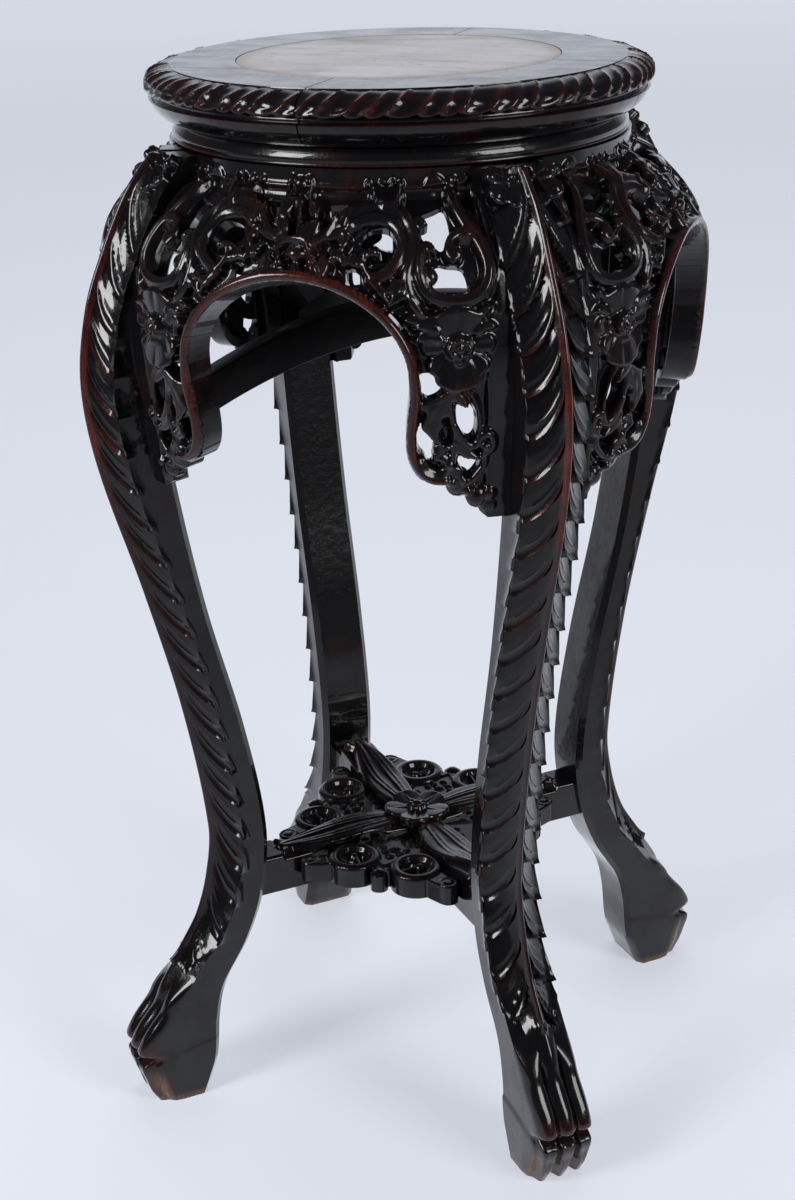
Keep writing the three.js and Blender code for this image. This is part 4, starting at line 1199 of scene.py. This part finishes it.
def carve_middle(board):
    """The spray in the middle of the arch, which isn't the same left and right: a rosette over the frieze, a
    pistil, cupped leaves and a hood below it, and an oval boss with drop leaves."""
    for toward, length, spread in (((-1, -0.2), 14, 7), ((1, -0.2), 14, 7), ((-0.7, 0.8), 11, 8), ((0.75, 0.8), 11, 8)):
        board.petal((-12, 14), toward, length, spread, 6.0, 1)
    board.petal((-12, 14), (0, -1), 7, 9, 5.6, 1)
    board.petal((-12, 15), (0, 1), 9, 7, 7.0, 1)
    leaves = [
        ([(-13, 20), (-16, 26), (-16, 33)], 13.0, 4.4, 0),
        ([(3, 21), (10, 25), (15, 31)], 8.5, 3.0, 0),
        ([(5, 45), (10, 40), (20, 34.5)], 12.0, 5.0, 0),
        ([(-8, 43), (-13, 38), (-20, 34)], 10.0, 3.8, 0),
        ([(-21, 54), (-22, 60), (-22, 69)], 10.0, 3.4, 0),
        ([(26, 54), (26.5, 60), (26, 69)], 10.0, 3.4, 0),
        ([(-12, 57), (-13.5, 62), (-13, 69)], 7.5, 1.4, 0),
        ([(18, 56), (18.5, 61), (18, 69)], 7.5, 1.4, 0),
        ([(3, 58), (3, 62), (3, 70)], 10.0, 0.8, 0),
        ([(37, 31), (40, 27), (45, 24.5)], 7.5, 3.6, 0),
    ]
    bands = [
        ([(-3.5, 24), (-1, 31), (1.5, 41)], 3.6, 5.2, 0),
        ([(-22, 33.5), (-17, 31), (-11.5, 33), (-9, 39)], 3.2, 5.0, 0),
        ([(9, 46.5), (20, 45), (26.5, 40), (30.5, 31.5)], 3.8, 4.2, 0),
        ([(-15, 51), (-10, 46), (0, 44.5), (9, 46), (14, 51)], 4.4, 4.4, 0),
    ]
    beads = [((-12, 13.5), 5.4, 7.8, 0.22), ((2.5, 53), 9.0, 4.0, 0.0, 0.55), ((-3.5, 24), 2.8, 6.0)]
    beads += [((30.5, 31), 2.6, 5.2), ((-11, 59), 2.8, 3.0), ((16, 58), 2.8, 3.0)]
    carve_strokes(board, bands, leaves, beads, mirrored=False, widen=1.0)


def bead_circle(board, middle, reach, count, radius, lift):
    """Beads at even turns round a middle, at a reach along u and one along d."""
    for k in range(count):
        angle = 2 * math.pi * k / count
        board.bead((middle[0] + reach[0] * math.cos(angle), middle[1] + reach[1] * math.sin(angle)), radius, lift)


def carve_flower(board):
    """The flower over the glued joint: a cupped petal above and below, side petals and a knot of beads."""
    for side in (1, -1):
        u = side * flower_middle
        board.petal((u, 114), (0, -1), 24, 19.5, 4.2, 2)
        board.petal((u, 124), (0, 1), 27, 18.5, 4.4, 2)
        for way in (1, -1):
            board.petal((u + side * 5 * way, 122), (side * way * 0.8, 1), 22, 9, 2.6, 1)
            board.petal((u + side * 7 * way, 118), (side * way, -0.1), 20, 8, 2.0, 1)
        bead_circle(board, (u, flower_knot), (6.8, 6.2), 8, 2.7, 5.6)
        board.bead((u, flower_knot), 3.2, 6.4)
        board.bead((u, 129), 2.4, 5.4)


def carve_ear(board):
    """The spray on the ear: a stem with a toothed leaf, a hooked curl, berries, and round lobes at the foot."""
    bands = [
        ([(121, 149), (119.6, 161), (121.6, 173), (124, 184), (123.4, 196), (121.4, 208), (123, 218)], 4.4, 2.0, 1),
        (
            [(123, 179), (128, 188), (134, 194.5), (140, 195.5), (143.4, 190), (148, 187), (152.8, 191), (152.4, 199)]
            + [(147, 202)],
            5.0, 2.8, 1,
        ),
        ([(133, 152), (138.6, 160), (142, 171), (142.6, 184), (139, 195)], 3.4, 1.4, 0),
        ([(98, 206), (103, 214), (111, 217.5), (118, 214), (117, 206), (111, 203.5)], 6.6, 2.6, 2),
        ([(122, 222), (130, 226), (139, 222), (146, 213), (147, 204)], 5.0, 1.6, 1),
    ]
    leaves = [
        ([(120, 152), (113, 161), (107.5, 172), (108, 184), (113, 192)], 17.0, 2.4, 3),
        ([(98, 160), (103, 163), (110, 168)], 11.0, 0.6, 1),
        ([(120, 150), (126, 156), (133, 164)], 8.5, 2.8, 0),
        ([(123, 190), (131, 200), (144, 206)], 8.0, 2.4, 0),
        ([(120, 196), (113, 197), (107, 204)], 9.0, 1.6, 2),
        ([(120, 212), (126, 216), (130, 223)], 8.0, 1.4, 0),
    ]
    beads = [
        ((147, 197), 3.2, 3.0), ((119.5, 209.5), 3.2, 3.4), ((121, 224), 3.0, 3.2), ((130.5, 223), 3.0, 3.2),
        ((134, 232), 3.6, 2.8), ((128, 227), 11.0, 0.6), ((143, 239), 9.4, 0.0), ((153, 246), 9.6, -0.8),
        ((152, 236), 5.4, 1.2),
    ]
    carve_strokes(board, bands, leaves, beads)


def carve_apron(u_ends, d_ends, half_outline):
    """One board of the apron with all strokes that fall on it, cut back to the arch."""
    board = Carving(u_ends, d_ends, carving_step, apron_ground)
    outline = [(-u, d) for u, d in half_outline[::-1]] + half_outline
    carve_ground(board, outline)
    carve_scrolls(board)
    if d_ends[0] < 1:
        carve_middle(board)
    carve_flower(board)
    if d_ends[1] > ear_joint + 1:
        carve_ear(board)
    for line in both_sides(moulding_line):
        board.band(line, moulding_width, 4.2)
        where, distance, _ = board.follow(line, moulding_width)
        board.rub[where] = np.maximum(board.rub[where], 0.42 * (distance < mould))
    from_arch = -outline_distance(board.u, board.d, arch_opening)
    board.inside = np.minimum(board.inside, from_arch)
    stout = np.maximum(1 - smooth_step(from_arch, 8, 14), smooth_step(np.abs(board.u), 142, 150))
    stout = np.maximum(stout, 1 - smooth_step(board.d, 12, 18))
    return board, pierced_thickness + (apron_thickness - pierced_thickness) * stout


apron_reach = 171.0
half_joint = 0.15
board_crease = 72
arch_outline = [(0, -5), (180, -5), (180, 130), (60, 130), (0, 130)]
ear_outline = [(60, 110), (180, 110), (180, 257), (150, 256), (141, 240), (128, 228), (116, 227), (80, 227)]
arch_board, arch_thickness = carve_apron((-apron_reach, apron_reach), (0, ear_joint - half_joint), arch_outline)
ear_board, ear_thickness = carve_apron((80, apron_reach), (ear_joint + half_joint, 257), ear_outline)
arch_shell = arch_board.shell(on_face, arch_thickness)
ear_shell = ear_board.shell(on_face, ear_thickness)
side_names = ["front", "right", "back", "left"]
for quarter, name in enumerate(side_names):
    piece = make_piece("carved_arch_" + name, turned(arch_shell, 90 * quarter), board_crease)
    dress(piece, lacquer, "lacquered_wood", "apron_arch_" + name)
    for side, flip in (("right", 1), ("left", -1)):
        piece = make_piece("carved_ear_" + name + "_" + side, turned(ear_shell, 90 * quarter, flip), board_crease)
        dress(piece, lacquer, "lacquered_wood", "apron_ear_" + name + "_" + side)

# The upper brace: two arched bars from leg to leg, half-lapped where they cross, high under the top. They are
# plain, with eased edges and a dull stain in place of the polish, and only seen through the arches.
brace_crown = 686.0
brace_fall = 61.0
brace_depth = 32.0
brace_width = 22.0
brace_reach = waist_radius + 30
lap_gap = 0.3
bar_angles = {"lower": 135, "upper": 45}


def lapped_bar(reach, width, crown, depth, is_upper, easing=1.6):
    """A bar along x with the underside crown(x), as rings across it; at the crossing a half of its depth is
    missing, above in the lower bar and below in the upper one."""
    half = width / 2
    notch = half + lap_gap
    x = np.concatenate([np.linspace(-reach, -notch, 50), np.linspace(-notch + 0.05, notch - 0.05, 7)])
    x = np.concatenate([x, np.linspace(notch, reach, 50)])
    inside = np.abs(x) < notch
    low = crown(x) + np.where(inside & is_upper, depth / 2 + 0.1, 0)
    high = crown(x) + np.where(inside & (not is_upper), depth / 2 - 0.1, depth)
    turn = np.linspace(0, math.pi / 2, 4)
    side, rise = easing * (1 - np.cos(turn)), easing * (1 - np.sin(turn))
    rows = []
    for y_sign, top in ((1, False), (1, True), (-1, True), (-1, False)):
        for k in range(4) if (y_sign > 0) == top else range(3, -1, -1):
            y = y_sign * (half - side[k])
            z = high - rise[k] if top else low + rise[k]
            rows.append(np.stack([x, np.full_like(x, y), z], -1))
    return np.stack(rows, 1)


def brace_underside(x):
    """A parabola that falls from the crown to the ends."""
    return brace_crown - brace_fall * (x / brace_reach) ** 2


stained_wood = lacquer_finish("stained_wood", 0.12, 0.42)
for name, angle in bar_angles.items():
    bar = lapped_bar(brace_reach, brace_width, brace_underside, brace_depth, name == "upper")
    piece = make_piece("brace_bar_" + name, turned(ring_shell(bar), angle))
    dress(piece, stained_wood, "lacquered_wood", "upper_brace_" + name)

# The lower stretcher: two thick bars from leg to leg, half-lapped in the middle. Each arm is carved as a long leaf
# that lies on the bar up to a plain block at the leg, and a blossom with five petals covers the crossing.
bar_top = 222.0
bar_depth = 36.0
bar_half = 17.0
bar_reach = waist_radius - 13.5
block_inner = 141.0
bar_step = 0.9
bar_crease = 60
bar_veins = [(9.5, [(30, 0.6), (70, 1), (104, 0.9), (126, 0.5)], 2.6, 0.2)]
bar_veins += [(4.6, [(26, 0.5), (64, 1), (96, 1), (128, 0.4)], 2.2, 0.4)]


def carve_bar(is_upper):
    """A bar on its own plan: u along it and d across. Its ends are plain blocks with eased edges."""
    board = Carving((-bar_reach, bar_reach), (-bar_half - 2, bar_half + 2), bar_step, -3.0)
    u, d = board.u, board.d
    along = np.abs(u)
    outline = [(x * (bar_reach + 9), y * bar_half) for x, y in ((-1, -1), (1, -1), (1, 1), (-1, 1))]
    board.inside = outline_distance(u, d, outline)
    block = smooth_step(along, block_inner - 1, block_inner + 1)
    easing = 2.2 * np.clip(1 - board.inside / 2.6, 0, 1) ** 2
    board.height = np.where(block > 0.5, -easing, -4.5 - 1.6 * np.clip(1 - board.inside / 2.0, 0, 1) ** 2)
    for side in (1, -1):
        lift = 2.4 if is_upper else 3.4
        board.leaf([(side * 14, 0), (side * 60, 1.5), (side * 100, -1.5), (side * 142, 0)], 38, lift, 0, 1.8)
        for offset, stations, width, rise in bar_veins:
            for out in (-offset, offset):
                board.band([(side * u0, out * share) for u0, share in stations], width, lift + rise)
        for out in (-1, 1):
            board.leaf([(side * 128, 0), (side * 136, out * 7), (side * 140, out * 13)], 9, lift - 0.6)
    swell = 3.0 if is_upper else 0.0
    tip = 0.0 if is_upper else 11.0
    over = swell * bump_at(along, 60, 44) + tip * smooth_step(along, 70, 138) * (1 - smooth_step(along, 140, 141.5))
    board.height = board.height + over * (1 - block)
    below = np.full(u.shape, -bar_depth)
    crossing = along < bar_half + 0.4
    if is_upper:
        below = np.where(crossing, -bar_depth / 2 + 0.2, below)
    else:
        board.height = np.where(crossing, -bar_depth / 2 - 0.2, board.height)
    return board, -below


def carve_blossom():
    """The blossom over the crossing: five cupped petals with a rib each, round a knot of beads."""
    board = Carving((-34, 34), (-34, 34), 0.7, 0.5)
    for k in range(5):
        angle = 2 * math.pi * (k + 0.30) / 5
        axis = np.array([math.cos(angle), math.sin(angle)])
        board.petal((0, 0), axis, 31, 14.5, 10.0, 1)
        board.band([tuple(9 * axis), tuple(26 * axis)], 2.0, 8.0)
    bead_circle(board, (0, 0), (6.4, 6.4), 7, 3.2, 11.0)
    board.bead((0, 0), 4.2, 12.5)
    board.height = np.maximum(board.height, 1.5)
    return board


def on_bar(u, d, out):
    """The top of a bar: u along it, d across it, out above it."""
    return np.stack([u, d, bar_top + out], -1)


for name, angle in bar_angles.items():
    board, depths = carve_bar(name == "upper")
    shells = [board.shell(on_bar, depths)]
    if name == "upper":
        shells.append(carve_blossom().shell(on_bar, -0.4))
    piece = make_piece("leaf_bar_" + name, turned(joined(shells), angle), bar_crease)
    dress(piece, lacquer, "lacquered_wood", "stretcher_bar_" + name)

# The scroll panels: one in each corner of the cross, sawn from a thin board. A flat web carries two dished rings
# with coiled ends, a small lobe between them and a knob beside each bar; the rims are raised and rubbed.
panel_top = 216.0
panel_thickness = 18.0
panel_step = 0.8
ring_centre = (30.0, 87.0)
ring_radius = 24.0
knob_centre = (66.0, 104.0)


def carve_panel():
    """One panel: u across it, d out from the middle of the stand."""
    board = Carving((-80, 80), (20, 116), panel_step, -1.2)
    u, d = board.u, board.d
    web = outline_distance(u, d, [(0, 17), (75, 92), (66, 104), (30, 86), (0, 102), (-30, 86), (-66, 104), (-75, 92)])
    board.inside = web
    board.height = board.height - 1.0 * np.clip(1 - web / 3, 0, 1)
    for side in (1, -1):
        x, y = u - side * ring_centre[0], d - ring_centre[1]
        spread = np.hypot(x, y)
        arm = outline_distance(u, d, [(side * 44, 104), (side * 62, 112), (side * 70, 98), (side * 52, 86)])
        near = arm > -4
        board.inside[near] = np.maximum(board.inside, arm)[near]
        board.height[near] = np.maximum(board.height, 0.6 - 3.5 * np.clip(-arm, 0, None))[near]
        rim = 3.2 * half_round((spread - 19) / 5.0) - 0.2
        dish = -6.5 + 5.5 * np.clip(spread / 15, 0, 1) ** 2
        coil = np.where(spread < 15, dish, rim - 2.6 * np.clip(spread - 24, 0, None))
        near = spread < ring_radius + 4
        board.inside[near] = np.maximum(board.inside, ring_radius - spread)[near]
        board.height[near] = np.where(spread < 22, coil, np.maximum(board.height, coil))[near]
    bands = [([(20, 97), (24, 92), (28, 86)], 5.0, 0.6, 0)]
    beads = [((32, 83), 4.6, 1.6), ((24, 79), 2.6, -0.6), (knob_centre, 8.6, 2.2, 0.16)]
    beads += [((9 + 8.6 * k, 42 + 7.6 * k), 2.6 - 0.15 * k, 1.2) for k in range(5)]
    beads += [((7, 68), 3.0, 1.8), ((11, 61), 2.2, 1.8)]
    carve_strokes(board, bands, [], beads, widen=1.0)
    beads = [((0, 103), 8.0, 1.6), ((0, 62), 4.6, 1.8), ((0, 75), 3.2, 1.8)]
    carve_strokes(board, [([(-7, 84), (0, 92), (7, 84)], 4.0, 1.0, 0)], [], beads, mirrored=False, widen=1.0)
    slot = (np.abs(np.abs(u) - d) / math.sqrt(2) - bar_half - 0.3) * np.where(np.abs(u) < d, 1, -1)
    board.inside = np.minimum(board.inside, slot)
    return board


def on_panel(u, d, out):
    """The top of the front panel, which points to -Y."""
    return np.stack([u, -d, panel_top + out], -1)


panel_shell = carve_panel().shell(on_panel, panel_thickness)
for quarter, name in enumerate(side_names):
    piece = make_piece("scroll_panel_" + name, turned(panel_shell, 90 * quarter), bar_crease)
    dress(piece, lacquer, "lacquered_wood", "stretcher_scroll_" + name)

# The CAD solids: a piece above stands for each of them, and each still gets a finish: the marble for the disc and the
# lacquer for the rest.
for name in frame["nodes"]:
    cad = bpy.data.objects[name]
    cad.data.materials.clear()
    cad.data.materials.append(marble_stone if name == "marble_disc" else lacquer)
